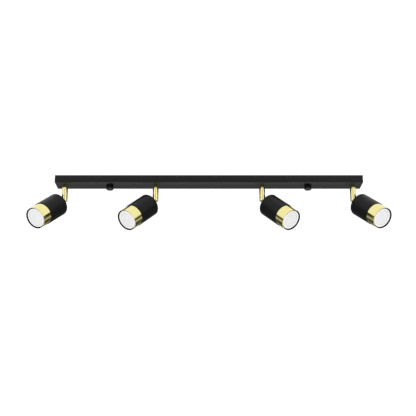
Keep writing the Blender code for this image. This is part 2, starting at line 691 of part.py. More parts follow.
def build_spot(number, x, meshes):
    """One spot: the stem turns on the bar, the head tilts on the stem, the lamp twists in it."""
    outer = abs(x) == STEM_X_OUTER
    aim = AIM_OUTER if outer else AIM_INNER
    droop = DROOP_OUTER if outer else DROOP_INNER
    heading = math.radians(-aim if x > 0 else aim - 180.0)
    pan = axis_empty(f"pan_axis_{number}", (x, 0, BAR_BOTTOM), (0, 0, heading))
    hinge = (0, 0, -STEM_LENGTH + HINGE_RISE)
    tilt = axis_empty(f"tilt_axis_{number}", hinge, (0, math.radians(droop), 0), pan)
    head = axis_empty(f"lamp_axis_{number}", (0, 0, -HINGE_OFFSET), (0, 0, 0), tilt)

    def add(kind, finish, parent, location=(0, 0, 0)):
        place(f"{kind}_{number}", meshes[kind], kind, finish, parent, location)

    add("stem", "gold_plate", pan)
    add("stem_nut", "zinc_steel", pan)
    add("hinge_pin", "gold_plate", pan, hinge)
    add("tilt_knuckle", "black_coat", tilt)
    add("head_housing", "black_coat", head)
    add("trim_ring", "gold_plate", head)
    add("holder_bracket", "zinc_steel", head)
    add("lamp_holder", "ceramic", head)
    add("lamp_body", "lamp_white", head)
    add("lamp_lens", "opal_lens", head)
    add("lamp_base", "lamp_white", head)
    lead(f"lead_sleeve_{number}", sleeve_route(droop), "lead_sleeve", "black_sleeve", pan)
    route = lamp_lead_route(x, "outer" if outer else "inner")
    lead(f"lamp_lead_{number}", route, "lamp_lead", "white_sleeve")


def main():
    clear_scene()
    build_bar()
    meshes = build_meshes()
    for number, x in enumerate(stem_places(), start=1):
        build_spot(number, x, meshes)


main()
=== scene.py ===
"""Looks of the four-spot ceiling bar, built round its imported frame."""

import json
import logging
import math
from dataclasses import dataclass
from enum import Enum
from typing import Callable, Iterable, Sequence

import bpy
from mathutils import Matrix, Vector

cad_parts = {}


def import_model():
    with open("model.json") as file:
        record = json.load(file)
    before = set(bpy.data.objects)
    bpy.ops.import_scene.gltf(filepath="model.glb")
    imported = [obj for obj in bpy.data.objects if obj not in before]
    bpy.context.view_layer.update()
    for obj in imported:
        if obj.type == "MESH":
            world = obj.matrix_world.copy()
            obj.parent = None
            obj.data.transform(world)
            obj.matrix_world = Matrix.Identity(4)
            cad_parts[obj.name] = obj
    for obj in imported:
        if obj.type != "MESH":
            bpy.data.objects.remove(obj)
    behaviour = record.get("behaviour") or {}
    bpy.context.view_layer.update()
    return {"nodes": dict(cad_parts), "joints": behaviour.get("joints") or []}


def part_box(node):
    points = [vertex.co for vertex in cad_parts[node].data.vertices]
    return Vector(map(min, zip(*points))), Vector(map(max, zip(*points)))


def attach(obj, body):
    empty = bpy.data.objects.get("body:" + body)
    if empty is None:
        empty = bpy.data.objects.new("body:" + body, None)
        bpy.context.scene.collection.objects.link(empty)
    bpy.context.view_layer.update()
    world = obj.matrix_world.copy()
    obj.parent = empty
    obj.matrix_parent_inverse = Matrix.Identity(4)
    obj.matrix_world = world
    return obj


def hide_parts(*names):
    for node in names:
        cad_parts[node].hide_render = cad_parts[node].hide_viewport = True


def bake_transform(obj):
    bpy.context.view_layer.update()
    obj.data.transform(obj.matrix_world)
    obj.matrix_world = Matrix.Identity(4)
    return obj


LOG = logging.getLogger("spot_bar")
MM = 0.001
WELD = 1e-6
SIDES = 128
HOLD = 0.15  # how far past an arc its holding ring lies, which keeps the straight run flat
FINE_SIDES = 48
HOLDER_FACE = 69.3  # where the lamp holder ends along a head's axis
ON_RING = 1e-3  # how near a vertex lies to the ring that it belongs to
ON_CORNER = 0.01  # how near an edge's end lies to the corner that it belongs to
PATTERN_RANGE = (0.3, 0.7)  # the middle range of a noise pattern, where its values mostly lie

Colour = tuple[float, float, float]
Profile = list[tuple[float, float]]
Point = tuple[float, float, float]
Object = bpy.types.Object


class Axis(Enum):
    """Directions that a piece modelled along +Z can be laid along."""

    X = (0.0, math.pi / 2, 0.0)
    Y = (-math.pi / 2, 0.0, 0.0)


class Join(Enum):
    """How a helper solid changes a piece."""

    CUT = "DIFFERENCE"
    ADD = "UNION"


class Bench:
    """Modelling steps that every sub-assembly shares. Sizes are in millimetres."""

    @staticmethod
    def clear() -> None:
        """Leaves edit mode and deselects everything."""
        if bpy.context.mode != "OBJECT":
            bpy.ops.object.mode_set(mode="OBJECT")
        bpy.ops.object.select_all(action="DESELECT")

    @staticmethod
    def hold(obj: Object) -> None:
        """Makes one object the only selected and active one."""
        Bench.clear()
        obj.select_set(True)
        bpy.context.view_layer.objects.active = obj

    @staticmethod
    def edit(obj: Object, test: Callable[[Vector], bool] | None = None) -> None:
        """Opens a piece in edit mode with its chosen vertices selected.

        Args:
            obj: the piece.
            test: says of a vertex's place in millimetres whether it is chosen; all when None.
        """
        Bench.hold(obj)
        mesh = obj.data
        for vert in mesh.vertices:
            vert.select = test is None or test(vert.co / MM)
        for edge in mesh.edges:
            edge.select = all(mesh.vertices[i].select for i in edge.vertices)
        for face in mesh.polygons:
            face.select = all(mesh.vertices[i].select for i in face.vertices)
        bpy.ops.object.mode_set(mode="EDIT")
        bpy.context.tool_settings.mesh_select_mode = (True, False, False)

    @staticmethod
    def edit_faces(obj: Object, test: Callable[[Vector, Vector], bool]) -> None:
        """Opens a piece in edit mode with the faces selected whose centre and normal pass a test.

        Args:
            obj: the piece.
            test: takes a face's centre in millimetres and its normal.
        """
        Bench.hold(obj)
        mesh = obj.data
        for item in [*mesh.vertices, *mesh.edges]:
            item.select = False
        for face in mesh.polygons:
            face.select = test(face.center / MM, face.normal)
        bpy.context.tool_settings.mesh_select_mode = (False, False, True)
        bpy.ops.object.mode_set(mode="EDIT")

    @staticmethod
    def edit_edges(obj: Object, test: Callable[[Vector, Vector], bool]) -> None:
        """Opens a piece in edit mode with the edges selected whose two ends pass a test.

        Args:
            obj: the piece.
            test: takes the places of an edge's ends in millimetres.
        """
        Bench.hold(obj)
        mesh = obj.data
        for item in [*mesh.vertices, *mesh.polygons]:
            item.select = False
        for edge in mesh.edges:
            ends = [mesh.vertices[i].co / MM for i in edge.vertices]
            edge.select = test(*ends)
        bpy.context.tool_settings.mesh_select_mode = (False, True, False)
        bpy.ops.object.mode_set(mode="EDIT")

    @staticmethod
    def close_edit() -> None:
        """Welds what the steps left double, turns the faces outwards and leaves edit mode."""
        bpy.ops.mesh.select_all(action="SELECT")
        bpy.ops.mesh.remove_doubles(threshold=WELD)
        bpy.ops.mesh.normals_make_consistent(inside=False)
        bpy.ops.object.mode_set(mode="OBJECT")

    @staticmethod
    def turned(name: str, profile: Profile, sides: int = SIDES) -> Object:
        """Turns a profile round Z by extruding and resizing one ring of edges.

        Args:
            name: the piece's name.
            profile: (radius, height) points, closed on themselves or ending on the axis.
            sides: edges in the ring.

        Returns:
            The closed piece, with its own mesh at the origin.
        """
        first = next(i for i, (radius, _) in enumerate(profile) if radius > 0)
        radius, height = profile[first]
        Bench.clear()
        bpy.ops.mesh.primitive_circle_add(vertices=sides, radius=radius * MM)
        obj = bpy.context.object
        obj.name = name
        Bench.edit(obj)
        bpy.ops.transform.translate(value=(0, 0, height * MM))
        rest = profile[first + 1:]
        if first == 0 and profile[-1][0] > 0:
            rest = rest + [profile[0]]
        for next_radius, next_height in rest:
            Bench.extrude(next_height - height)
            height = next_height
            if next_radius == 0:
                bpy.ops.mesh.merge(type="CENTER")
                continue
            grow = next_radius / radius
            centre = (0, 0, height * MM)
            bpy.ops.transform.resize(value=(grow, grow, 1), center_override=centre)
            radius = next_radius
        if first > 0:
            Bench._cap_start(obj, profile[first], profile[0][1])
        Bench.close_edit()
        return obj

    @staticmethod
    def extrude(rise: float) -> None:
        """Extrudes the selection along Z by a rise in millimetres."""
        bpy.ops.mesh.extrude_region_move(TRANSFORM_OT_translate={"value": (0, 0, rise * MM)})

    @staticmethod
    def _cap_start(obj: Object, ring: tuple[float, float], pole: float) -> None:
        """Closes the first ring of a turned piece to a point on its axis."""
        bpy.ops.object.mode_set(mode="OBJECT")
        radius, height = ring

        def on_ring(place: Vector) -> bool:
            """Whether a place lies on the first ring."""
            off_radius = abs(math.hypot(place.x, place.y) - radius)
            return abs(place.z - height) < ON_RING and off_radius < ON_RING

        Bench.edit(obj, on_ring)
        Bench.extrude(pole - height)
        bpy.ops.mesh.merge(type="CENTER")

    @staticmethod
    def rod(radius: float, low: float, high: float, at: tuple[float, float] = (0, 0)) -> Object:
        """A plain rod along Z, for a cut or a union."""
        profile = [(0, low), (radius, low), (radius, high), (0, high)]
        return Bench.lay(Bench.turned("rod", profile, FINE_SIDES), at=(*at, 0))

    @staticmethod
    def block(name: str, low: Point, high: Point) -> Object:
        """A box between two corners, ready to be shaped."""
        low_corner, high_corner = Vector(low) * MM, Vector(high) * MM
        Bench.clear()
        bpy.ops.mesh.primitive_cube_add(size=1.0)
        obj = bpy.context.object
        obj.name = name
        Bench.edit(obj)
        bpy.ops.transform.resize(value=high_corner - low_corner)
        bpy.ops.transform.translate(value=(low_corner + high_corner) / 2)
        Bench.close_edit()
        return obj

    @staticmethod
    def extruded(name: str, outline: Sequence[tuple[float, float]], low: float, high: float) -> Object:
        """A prism: a closed outline in X and Y, filled and extruded from low to high.

        Args:
            name: the piece's name.
            outline: the corners in order.
            low: height of the lower face.
            high: height of the upper face.

        Returns:
            The closed piece.
        """
        Bench.clear()
        bpy.ops.mesh.primitive_circle_add(vertices=len(outline), radius=MM)
        obj = bpy.context.object
        obj.name = name
        for vert, (x, y) in zip(obj.data.vertices, outline):
            vert.co = (x * MM, y * MM, low * MM)
        Bench.edit(obj)
        bpy.ops.mesh.edge_face_add()
        Bench.extrude(high - low)
        Bench.close_edit()
        return obj

    @staticmethod
    def lay(obj: Object, axis: Axis | None = None, at: Point = (0, 0, 0)) -> Object:
        """Turns a piece onto an axis, moves it and applies both to its mesh."""
        Bench.hold(obj)
        if axis is not None:
            obj.rotation_euler = axis.value
        obj.location = Vector(at) * MM
        bpy.ops.object.transform_apply(location=True, rotation=True, scale=True)
        return obj

    @staticmethod
    def combine(obj: Object, helpers: Iterable[Object], join: Join = Join.CUT) -> Object:
        """Cuts helper solids from a piece, or adds them to it, and removes them."""
        for helper in helpers:
            Bench.hold(obj)
            modifier = obj.modifiers.new("combine", "BOOLEAN")
            modifier.operation = join.value
            modifier.solver = "EXACT"
            modifier.object = helper
            bpy.ops.object.modifier_apply(modifier=modifier.name)
            bpy.data.objects.remove(helper, do_unlink=True)
        return obj

    @staticmethod
    def eased(obj: Object, width: float, segments: int = 2, angle: float = 40.0) -> Object:
        """Rounds every edge sharper than an angle, and shades the piece."""
        Bench.hold(obj)
        modifier = obj.modifiers.new("eased", "BEVEL")
        modifier.width = width * MM
        modifier.segments = segments
        modifier.limit_method = "ANGLE"
        modifier.angle_limit = math.radians(angle)
        bpy.ops.object.modifier_apply(modifier=modifier.name)
        return Bench.smooth(obj)

    @staticmethod
    def smooth(obj: Object, angle: float = 35.0) -> Object:
        """Shades a piece smooth, but for its edges sharper than an angle."""
        Bench.hold(obj)
        bpy.ops.object.shade_smooth_by_angle(angle=math.radians(angle))
        return obj

    @staticmethod
    def joined(name: str, parts: Sequence[Object]) -> Object:
        """Joins solids that are one piece to the eye into one object."""
        Bench.hold(parts[0])
        for part in parts:
            part.select_set(True)
        bpy.ops.object.join()
        parts[0].name = name
        return parts[0]

    @staticmethod
    def cable(name: str, route: Sequence[Vector], radius: float) -> Object:
        """A round cable along a route in metres, as a closed mesh.

        Args:
            name: the piece's name.
            route: points along the cable's middle.
            radius: in millimetres.

        Returns:
            The cable's mesh object, placed in the row frame.
        """
        curve = bpy.data.curves.new(name, "CURVE")
        curve.dimensions = "3D"
        curve.bevel_depth = radius * MM
        curve.bevel_resolution = 4
        curve.use_fill_caps = True
        spline = curve.splines.new("POLY")
        spline.points.add(len(route) - 1)
        for knot, point in zip(spline.points, route):
            knot.co = (*point, 1.0)
        obj = bpy.data.objects.new(name, curve)
        bpy.context.collection.objects.link(obj)
        Bench.hold(obj)
        bpy.ops.object.convert(target="MESH")
        obj = bpy.context.object
        Bench.edit(obj)
        Bench.close_edit()
        return Bench.smooth(obj, 50.0)

    @staticmethod
    def copied(obj: Object, name: str, matrix: Matrix) -> Object:
        """A copy with its own mesh, placed by a matrix that its mesh takes up."""
        twin = bpy.data.objects.new(name, obj.data.copy())
        bpy.context.collection.objects.link(twin)
        twin.matrix_world = matrix
        Bench.hold(twin)
        bpy.ops.object.transform_apply(location=True, rotation=True, scale=True)
        return twin


def arc(centre: tuple[float, float], radius: float, start: float, end: float, steps: int) -> Profile:
    """Points of an arc between two angles in degrees, both ends included."""
    angles = [math.radians(start + (end - start) * i / steps) for i in range(steps + 1)]
    return [(centre[0] + radius * math.cos(a), centre[1] + radius * math.sin(a)) for a in angles]


def rounded(corners: Sequence[tuple[float, float, float]], closed: bool = True, steps: int = 4) -> Profile:
    """An outline whose corners are arcs.

    Args:
        corners: each corner's place and the radius of its arc, 0 for a sharp one.
        closed: whether the last corner joins the first.
        steps: edges in each arc.

    Returns:
        The outline's points.
    """
    points: Profile = []
    for i, (x, y, radius) in enumerate(corners):
        if radius == 0 or (not closed and i in (0, len(corners) - 1)):
            points.append((x, y))
            continue
        here = Vector((x, y, 0))
        before = Vector((*corners[i - 1][:2], 0)) - here
        after = Vector((*corners[(i + 1) % len(corners)][:2], 0)) - here
        half = before.angle(after) / 2
        centre = here + (before.normalized() + after.normalized()).normalized() * radius / math.sin(half)
        reach = radius / math.tan(half)
        first = here + before.normalized() * reach - centre
        last = here + after.normalized() * reach - centre
        turn = [centre + first.slerp(last, step / steps).normalized() * radius for step in range(steps + 1)]
        hold = reach + HOLD
        if before.length > 4 * hold:
            turn.insert(0, here + before.normalized() * hold)
        if after.length > 4 * hold:
            turn.append(here + after.normalized() * hold)
        points += [(place.x, place.y) for place in turn]
    return points


def long_slot(centre: tuple[float, float], length: float, width: float) -> Profile:
    """The outline of a slot with round ends, lengthwise along X."""
    half = (length - width) / 2
    right = arc((centre[0] + half, centre[1]), width / 2, -90, 90, 12)
    left = arc((centre[0] - half, centre[1]), width / 2, 90, 270, 12)
    return right + left


def thread(radius: float, low: float, high: float, pitch: float, depth: float) -> Profile:
    """The outline of a screw thread as rings, from high down to low."""
    count = int((high - low) / pitch)
    points: Profile = []
    for i in range(count):
        crest = high - i * pitch
        points += [(radius, crest), (radius, crest - 0.2 * pitch)]
        points += [(radius - depth, crest - 0.5 * pitch), (radius - depth, crest - 0.65 * pitch)]
    return points + [(radius, high - count * pitch)]


def smooth_route(points: Sequence[Point], steps: int) -> list[Vector]:
    """Points in metres of a smooth curve through a route's points in millimetres."""
    route = [Vector(p) * MM for p in points]
    padded = [2 * route[0] - route[1], *route, 2 * route[-1] - route[-2]]
    curve: list[Vector] = []
    for before, start, end, after in zip(padded, padded[1:], padded[2:], padded[3:]):
        for i in range(steps):
            t = i / steps
            curve.append(0.5 * (
                2 * start + (end - before) * t
                + (2 * before - 5 * start + 4 * end - after) * t ** 2
                + (3 * start - before - 3 * end + after) * t ** 3
            ))
    return curve + [route[-1]]


class Shader:
    """A node material under construction, round one Principled shader."""

    def __init__(self, name: str, colour: Colour, roughness: float, metallic: float = 0.0) -> None:
        """Makes the material with its constant values."""
        self.material = bpy.data.materials.new(name)
        self.material.use_nodes = True
        self.nodes = self.material.node_tree.nodes
        self.links = self.material.node_tree.links
        self.principled = self.nodes["Principled BSDF"]
        self.constant("Base Color", (*colour, 1.0))
        self.constant("Roughness", roughness)
        self.constant("Metallic", metallic)
        self.material.diffuse_color = (*colour, 1.0)
        self.place = self.nodes.new("ShaderNodeTexCoord").outputs["Object"]

    def constant(self, socket: str, value: float | tuple[float, ...]) -> None:
        """Sets a value on the shader's own socket."""
        self.principled.inputs[socket].default_value = value

    def noise(self, size: float, detail: float = 3.0, stretch: Point = (1, 1, 1)) -> bpy.types.NodeSocket:
        """A noise pattern whose features measure about size, in millimetres."""
        mapping = self.nodes.new("ShaderNodeMapping")
        mapping.inputs["Scale"].default_value = stretch
        self.links.new(self.place, mapping.inputs["Vector"])
        texture = self.nodes.new("ShaderNodeTexNoise")
        texture.inputs["Scale"].default_value = 1.0 / (size * MM)
        texture.inputs["Detail"].default_value = detail
        self.links.new(mapping.outputs["Vector"], texture.inputs["Vector"])
        return texture.outputs["Fac"]

    def cells(self, size: float) -> bpy.types.NodeSocket:
        """A pattern of cells of about size, in millimetres."""
        texture = self.nodes.new("ShaderNodeTexVoronoi")
        texture.inputs["Scale"].default_value = 1.0 / (size * MM)
        self.links.new(self.place, texture.inputs["Vector"])
        return texture.outputs["Distance"]

    def spread(self, pattern: bpy.types.NodeSocket, low: float, high: float) -> bpy.types.NodeSocket:
        """The pattern's middle range mapped to values between low and high."""
        node = self.nodes.new("ShaderNodeMapRange")
        node.inputs["From Min"].default_value = PATTERN_RANGE[0]
        node.inputs["From Max"].default_value = PATTERN_RANGE[1]
        node.inputs["To Min"].default_value = low
        node.inputs["To Max"].default_value = high
        self.links.new(pattern, node.inputs["Value"])
        return node.outputs["Result"]

    def vary_roughness(self, pattern: bpy.types.NodeSocket, low: float, high: float) -> None:
        """Lets the roughness follow a pattern."""
        self.links.new(self.spread(pattern, low, high), self.principled.inputs["Roughness"])

    def vary_colour(self, pattern: bpy.types.NodeSocket, low: Colour, high: Colour) -> None:
        """Lets the colour follow a pattern between two shades."""
        ramp = self.nodes.new("ShaderNodeValToRGB")
        for element, position, shade in zip(ramp.color_ramp.elements, PATTERN_RANGE, (low, high)):
            element.position = position
            element.color = (*shade, 1.0)
        self.links.new(pattern, ramp.inputs["Fac"])
        self.links.new(ramp.outputs["Color"], self.principled.inputs["Base Color"])

    def relief(self, pattern: bpy.types.NodeSocket, depth: float, strength: float = 1.0) -> None:
        """Adds a bump of a depth in millimetres on top of any earlier one."""
        bump = self.nodes.new("ShaderNodeBump")
        bump.inputs["Strength"].default_value = strength
        bump.inputs["Distance"].default_value = depth * MM
        self.links.new(pattern, bump.inputs["Height"])
        normal = self.principled.inputs["Normal"]
        if normal.is_linked:
            self.links.new(normal.links[0].from_socket, bump.inputs["Normal"])
        self.links.new(bump.outputs["Normal"], normal)


@dataclass(frozen=True)
class PowderCoat:
    """Baked powder paint with a fine orange-peel surface."""

    name: str = "black_powder_coat"
    colour: Colour = (0.0065, 0.0065, 0.0072)
    roughness: float = 0.42
    specular: float = 0.30
    grain: float = 0.45
    relief: float = 0.010

    def material(self) -> bpy.types.Material:
        """Builds the node material."""
        shader = Shader(self.name, self.colour, self.roughness)
        shader.constant("Specular IOR Level", self.specular)
        soft = shader.noise(18.0, 2.0)
        pale = tuple(c * 1.25 for c in self.colour)
        shader.vary_colour(soft, self.colour, pale)
        shader.vary_roughness(shader.noise(6.0, 4.0), self.roughness - 0.05, self.roughness + 0.05)
        shader.relief(shader.noise(self.grain, 2.0), self.relief)
        shader.relief(shader.noise(self.grain * 4, 1.0), self.relief * 1.5, 0.6)
        return shader.material


@dataclass(frozen=True)
class GoldPlate:
    """Polished gold-coloured plating with a faint film and fine wipe marks."""

    name: str = "gold_plate"
    colour: Colour = (0.90, 0.83, 0.38)
    roughness: float = 0.09

    def material(self) -> bpy.types.Material:
        """Builds the node material."""
        shader = Shader(self.name, self.colour, self.roughness, 1.0)
        film = shader.noise(14.0, 2.0)
        warm = (self.colour[0] * 0.98, self.colour[1] * 0.97, self.colour[2] * 0.94)
        shader.vary_colour(film, self.colour, warm)
        wipes = shader.noise(0.5, 3.0, (1.0, 1.0, 0.12))
        shader.vary_roughness(wipes, self.roughness - 0.03, self.roughness + 0.03)
        shader.relief(shader.noise(1.4, 2.0), 0.0008, 0.5)
        return shader.material


@dataclass(frozen=True)
class ZincPlate:
    """Bright zinc plating on steel: cool, slightly clouded and lightly scratched."""

    name: str = "zinc_plate"
    colour: Colour = (0.58, 0.60, 0.62)
    roughness: float = 0.32

    def material(self) -> bpy.types.Material:
        """Builds the node material."""
        shader = Shader(self.name, self.colour, self.roughness, 1.0)
        shader.vary_colour(shader.noise(5.0, 4.0), (0.50, 0.52, 0.53), (0.66, 0.67, 0.66))
        shader.vary_roughness(shader.noise(2.5, 3.0), self.roughness - 0.08, self.roughness + 0.1)
        shader.relief(shader.noise(0.3, 3.0, (0.1, 1.0, 1.0)), 0.003, 0.5)
        return shader.material


@dataclass(frozen=True)
class PlainBrass:
    """Machined brass, a little dulled."""

    name: str = "plain_brass"
    colour: Colour = (0.70, 0.49, 0.20)
    roughness: float = 0.28

    def material(self) -> bpy.types.Material:
        """Builds the node material."""
        shader = Shader(self.name, self.colour, self.roughness, 1.0)
        shader.vary_colour(shader.noise(1.5, 4.0), (0.60, 0.41, 0.17), self.colour)
        shader.vary_roughness(shader.noise(0.6, 3.0), 0.22, 0.38)
        shader.relief(shader.noise(0.15, 2.0), 0.002, 0.5)
        return shader.material


@dataclass(frozen=True)
class MouldedPlastic:
    """Moulded plastic with a faint flow and a fine spark-eroded grain."""

    name: str
    colour: Colour
    roughness: float = 0.4
    specular: float = 0.5
    glow: float = 0.0

    def material(self) -> bpy.types.Material:
        """Builds the node material."""
        shader = Shader(self.name, self.colour, self.roughness)
        shader.constant("Specular IOR Level", self.specular)
        shader.constant("Subsurface Weight", self.glow)
        shader.constant("Subsurface Radius", (0.002, 0.002, 0.002))
        shade = tuple(c * 0.97 for c in self.colour)
        shader.vary_colour(shader.noise(9.0, 2.0), shade, self.colour)
        shader.vary_roughness(shader.noise(1.2, 3.0), self.roughness - 0.05, self.roughness + 0.06)
        shader.relief(shader.noise(0.18, 2.0), 0.002, 0.6)
        return shader.material


@dataclass(frozen=True)
class FrostedLens:
    """Frosted opal plastic: a fine etched grain over a milky body."""

    name: str = "frosted_lens"
    colour: Colour = (0.84, 0.84, 0.855)
    roughness: float = 0.5

    def material(self) -> bpy.types.Material:
        """Builds the node material."""
        shader = Shader(self.name, self.colour, self.roughness)
        shader.constant("Subsurface Weight", 0.1)
        shader.constant("Subsurface Radius", (0.003, 0.003, 0.003))
        shader.vary_colour(shader.noise(4.0, 3.0), (0.825, 0.825, 0.84), (0.84, 0.84, 0.855))
        shader.vary_roughness(shader.noise(0.5, 2.0), 0.42, 0.58)
        shader.relief(shader.cells(0.35), 0.0012, 0.5)
        return shader.material


@dataclass(frozen=True)
class Ceramic:
    """Unglazed steatite: matt cream with fine pores."""

    name: str = "steatite"
    colour: Colour = (0.76, 0.71, 0.62)
    roughness: float = 0.62

    def material(self) -> bpy.types.Material:
        """Builds the node material."""
        shader = Shader(self.name, self.colour, self.roughness)
        shader.vary_colour(shader.noise(0.8, 5.0), (0.70, 0.65, 0.56), (0.80, 0.75, 0.67))
        shader.vary_roughness(shader.noise(2.0, 3.0), 0.55, 0.72)
        shader.relief(shader.cells(0.4), 0.02, 0.6)
        return shader.material


@dataclass(frozen=True)
class WovenSleeve:
    """Braided glass-fibre sleeve: crossed strands in relief, with painted shade darkening the gaps between
    them.
    """

    name: str
    colour: Colour
    strand: float = 0.45

    def material(self) -> bpy.types.Material:
        """Builds the node material."""
        shader = Shader(self.name, self.colour, 0.65)
        shader.constant("Sheen Weight", 0.3)
        heights = []
        for turn in (math.radians(45), math.radians(-45)):
            mapping = shader.nodes.new("ShaderNodeMapping")
            mapping.inputs["Rotation"].default_value = (turn, turn, turn)
            shader.links.new(shader.place, mapping.inputs["Vector"])
            wave = shader.nodes.new("ShaderNodeTexWave")
            wave.inputs["Scale"].default_value = 0.31 / (self.strand * MM)
            wave.inputs["Distortion"].default_value = 0.4
            shader.links.new(mapping.outputs["Vector"], wave.inputs["Vector"])
            heights.append(wave.outputs["Fac"])
        weave = shader.nodes.new("ShaderNodeMath")
        weave.operation = "MAXIMUM"
        shader.links.new(heights[0], weave.inputs[0])
        shader.links.new(heights[1], weave.inputs[1])
        # painted shade: the colour darkens where the weave is low, between the strands
        dark = tuple(c * 0.6 for c in self.colour)
        shader.vary_colour(weave.outputs["Value"], dark, self.colour)
        shader.relief(weave.outputs["Value"], 0.12)
        return shader.material


@dataclass(frozen=True)
class SatinNickel:
    """Nickel-plated contact metal."""

    name: str = "nickel"
    colour: Colour = (0.66, 0.63, 0.58)
    roughness: float = 0.22

    def material(self) -> bpy.types.Material:
        """Builds the node material."""
        shader = Shader(self.name, self.colour, self.roughness, 1.0)
        shader.vary_roughness(shader.noise(0.5, 3.0), 0.16, 0.32)
        shader.relief(shader.noise(0.2, 2.0), 0.001, 0.5)
        return shader.material


class Finishes:
    """Every finish of the fixture, built once."""

    def __init__(self) -> None:
        """Builds the materials."""
        self.bar = PowderCoat().material()
        satin = PowderCoat("satin_black_coat", (0.0042, 0.0042, 0.0048), 0.36, 0.16, 0.35, 0.006)
        self.housing = satin.material()
        self.knob = PowderCoat("black_knob", (0.003, 0.003, 0.0035), 0.24, 0.5, 0.3, 0.004).material()
        # painted shade and dark reflection, laid on the gold ring's bore and the inner half of its lips
        self.painted_bore_shade = PowderCoat("painted_shade_in_bore", (0.002, 0.002, 0.002), 0.55, 0.05, 0.4, 0.006).material()
        self.gold = GoldPlate().material()
        self.zinc = ZincPlate().material()
        self.brass = PlainBrass().material()
        self.nickel = SatinNickel().material()
        self.terminal = MouldedPlastic("terminal_plastic", (0.72, 0.71, 0.66), 0.45, 0.5, 0.3).material()
        self.lamp = MouldedPlastic("lamp_shell", (0.93, 0.93, 0.93), 0.32, 0.5).material()
        self.lens = FrostedLens().material()
        self.ceramic = Ceramic().material()
        self.black_sleeve = WovenSleeve("black_sleeve", (0.012, 0.012, 0.012)).material()
        self.white_sleeve = WovenSleeve("white_sleeve", (0.72, 0.71, 0.67)).material()
        self.grommet = MouldedPlastic("black_grommet", (0.012, 0.012, 0.012), 0.5).material()
        self.core_brown = MouldedPlastic("brown_core", (0.16, 0.06, 0.025), 0.4).material()
        self.core_blue = MouldedPlastic("blue_core", (0.02, 0.09, 0.35), 0.4).material()
        self.core_earth = MouldedPlastic("green_core", (0.10, 0.26, 0.03), 0.4).material()


@dataclass
class Fitting:
    """A piece that is modelled once and then set in place."""

    model: Object
    finish: bpy.types.Material

    def set_in(
        self, name: str, matrix: Matrix, body: str, node: str | None = None
    ) -> Object:
        """Copies the piece into the fixture.

        Args:
            name: the copy's name.
            matrix: its place in the row frame.
            body: the body that it rides on.
            node: the CAD node that it stands for, if any.

        Returns:
            The placed copy.
        """
        piece = Bench.copied(self.model, name, matrix)
        return dress(piece, self.finish, body, node)

    def discard(self) -> None:
        """Removes the model once its copies are placed."""
        bpy.data.objects.remove(self.model, do_unlink=True)


def dress(
    piece: Object, finish: bpy.types.Material, body: str, node: str | None = None
) -> Object:
    """Gives a piece its finish and ties it to the frame.

    Args:
        piece: the finished piece, in place.
        finish: its material.
        body: the body that it rides on.
        node: the CAD node that it stands for, if any.

    Returns:
        The same piece.
    """
    piece.data.materials.clear()
    piece.data.materials.append(finish)
    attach(piece, body)
    if node is not None:
        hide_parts(node)
    LOG.info("%s rides on %s", piece.name, body)
    return piece


@dataclass(frozen=True)
class Span:
    """How far a CAD node reaches along an axis and away from it, in millimetres."""

    low: float
    high: float
    radius: float

    @staticmethod
    def of(node: Object, place: Matrix) -> "Span":
        """Measures a node in a frame of its own.

        Args:
            node: the CAD node.
            place: the frame, whose Z is the axis.

        Returns:
            The node's span.
        """
        back = place.inverted()
        points = [back @ vert.co / MM for vert in node.data.vertices]
        heights = [point.z for point in points]
        return Span(min(heights), max(heights), max(math.hypot(point.x, point.y) for point in points))


@dataclass(frozen=True)
class SpotFrame:
    """Where one spot stands, read from its joints."""

    number: int
    stem: Matrix
    head: Matrix
    hinge: Vector

    @staticmethod
    def read(joints: list[dict], number: int, holder_face: float) -> "SpotFrame":
        """Works the spot's frames out of its three joints.

        Args:
            joints: the record's joints.
            number: the spot's number, from the left.
            holder_face: distance of the twist joint from the head's origin, in millimetres.

        Returns:
            The stem's frame, with Z up and X to the head, and the head's, with Z along its axis.
        """
        named = {joint["name"]: joint for joint in joints}
        pan, tilt, twist = (named[f"{kind}_{number}"] for kind in ("pan", "tilt", "lamp_twist"))
        upright = Vector((0, 0, 1))
        tilt_axis = Vector(tilt["axis"]).normalized()
        heading, side = upright.cross(tilt_axis), -tilt_axis
        forward = Vector(twist["axis"]).normalized()
        start = Vector(twist["pos_m"]) - forward * holder_face * MM
        return SpotFrame(
            number,
            SpotFrame._frame(heading, side, upright, Vector(pan["pos_m"])),
            SpotFrame._frame(side, forward.cross(side), forward, start),
            Vector(tilt["pos_m"]),
        )

    @staticmethod
    def _frame(x: Vector, y: Vector, z: Vector, origin: Vector) -> Matrix:
        """A matrix with these axes and this origin."""
        return Matrix.Translation(origin) @ Matrix((x, y, z)).transposed().to_4x4()

    @property
    def arm_body(self) -> str:
        """The body that turns on the bar."""
        return f"arm_{self.number}"

    @property
    def head_body(self) -> str:
        """The body that tilts on the arm."""
        return f"head_{self.number}"

    @property
    def lamp_body(self) -> str:
        """The body that twists in the head."""
        return f"lamp_{self.number}"


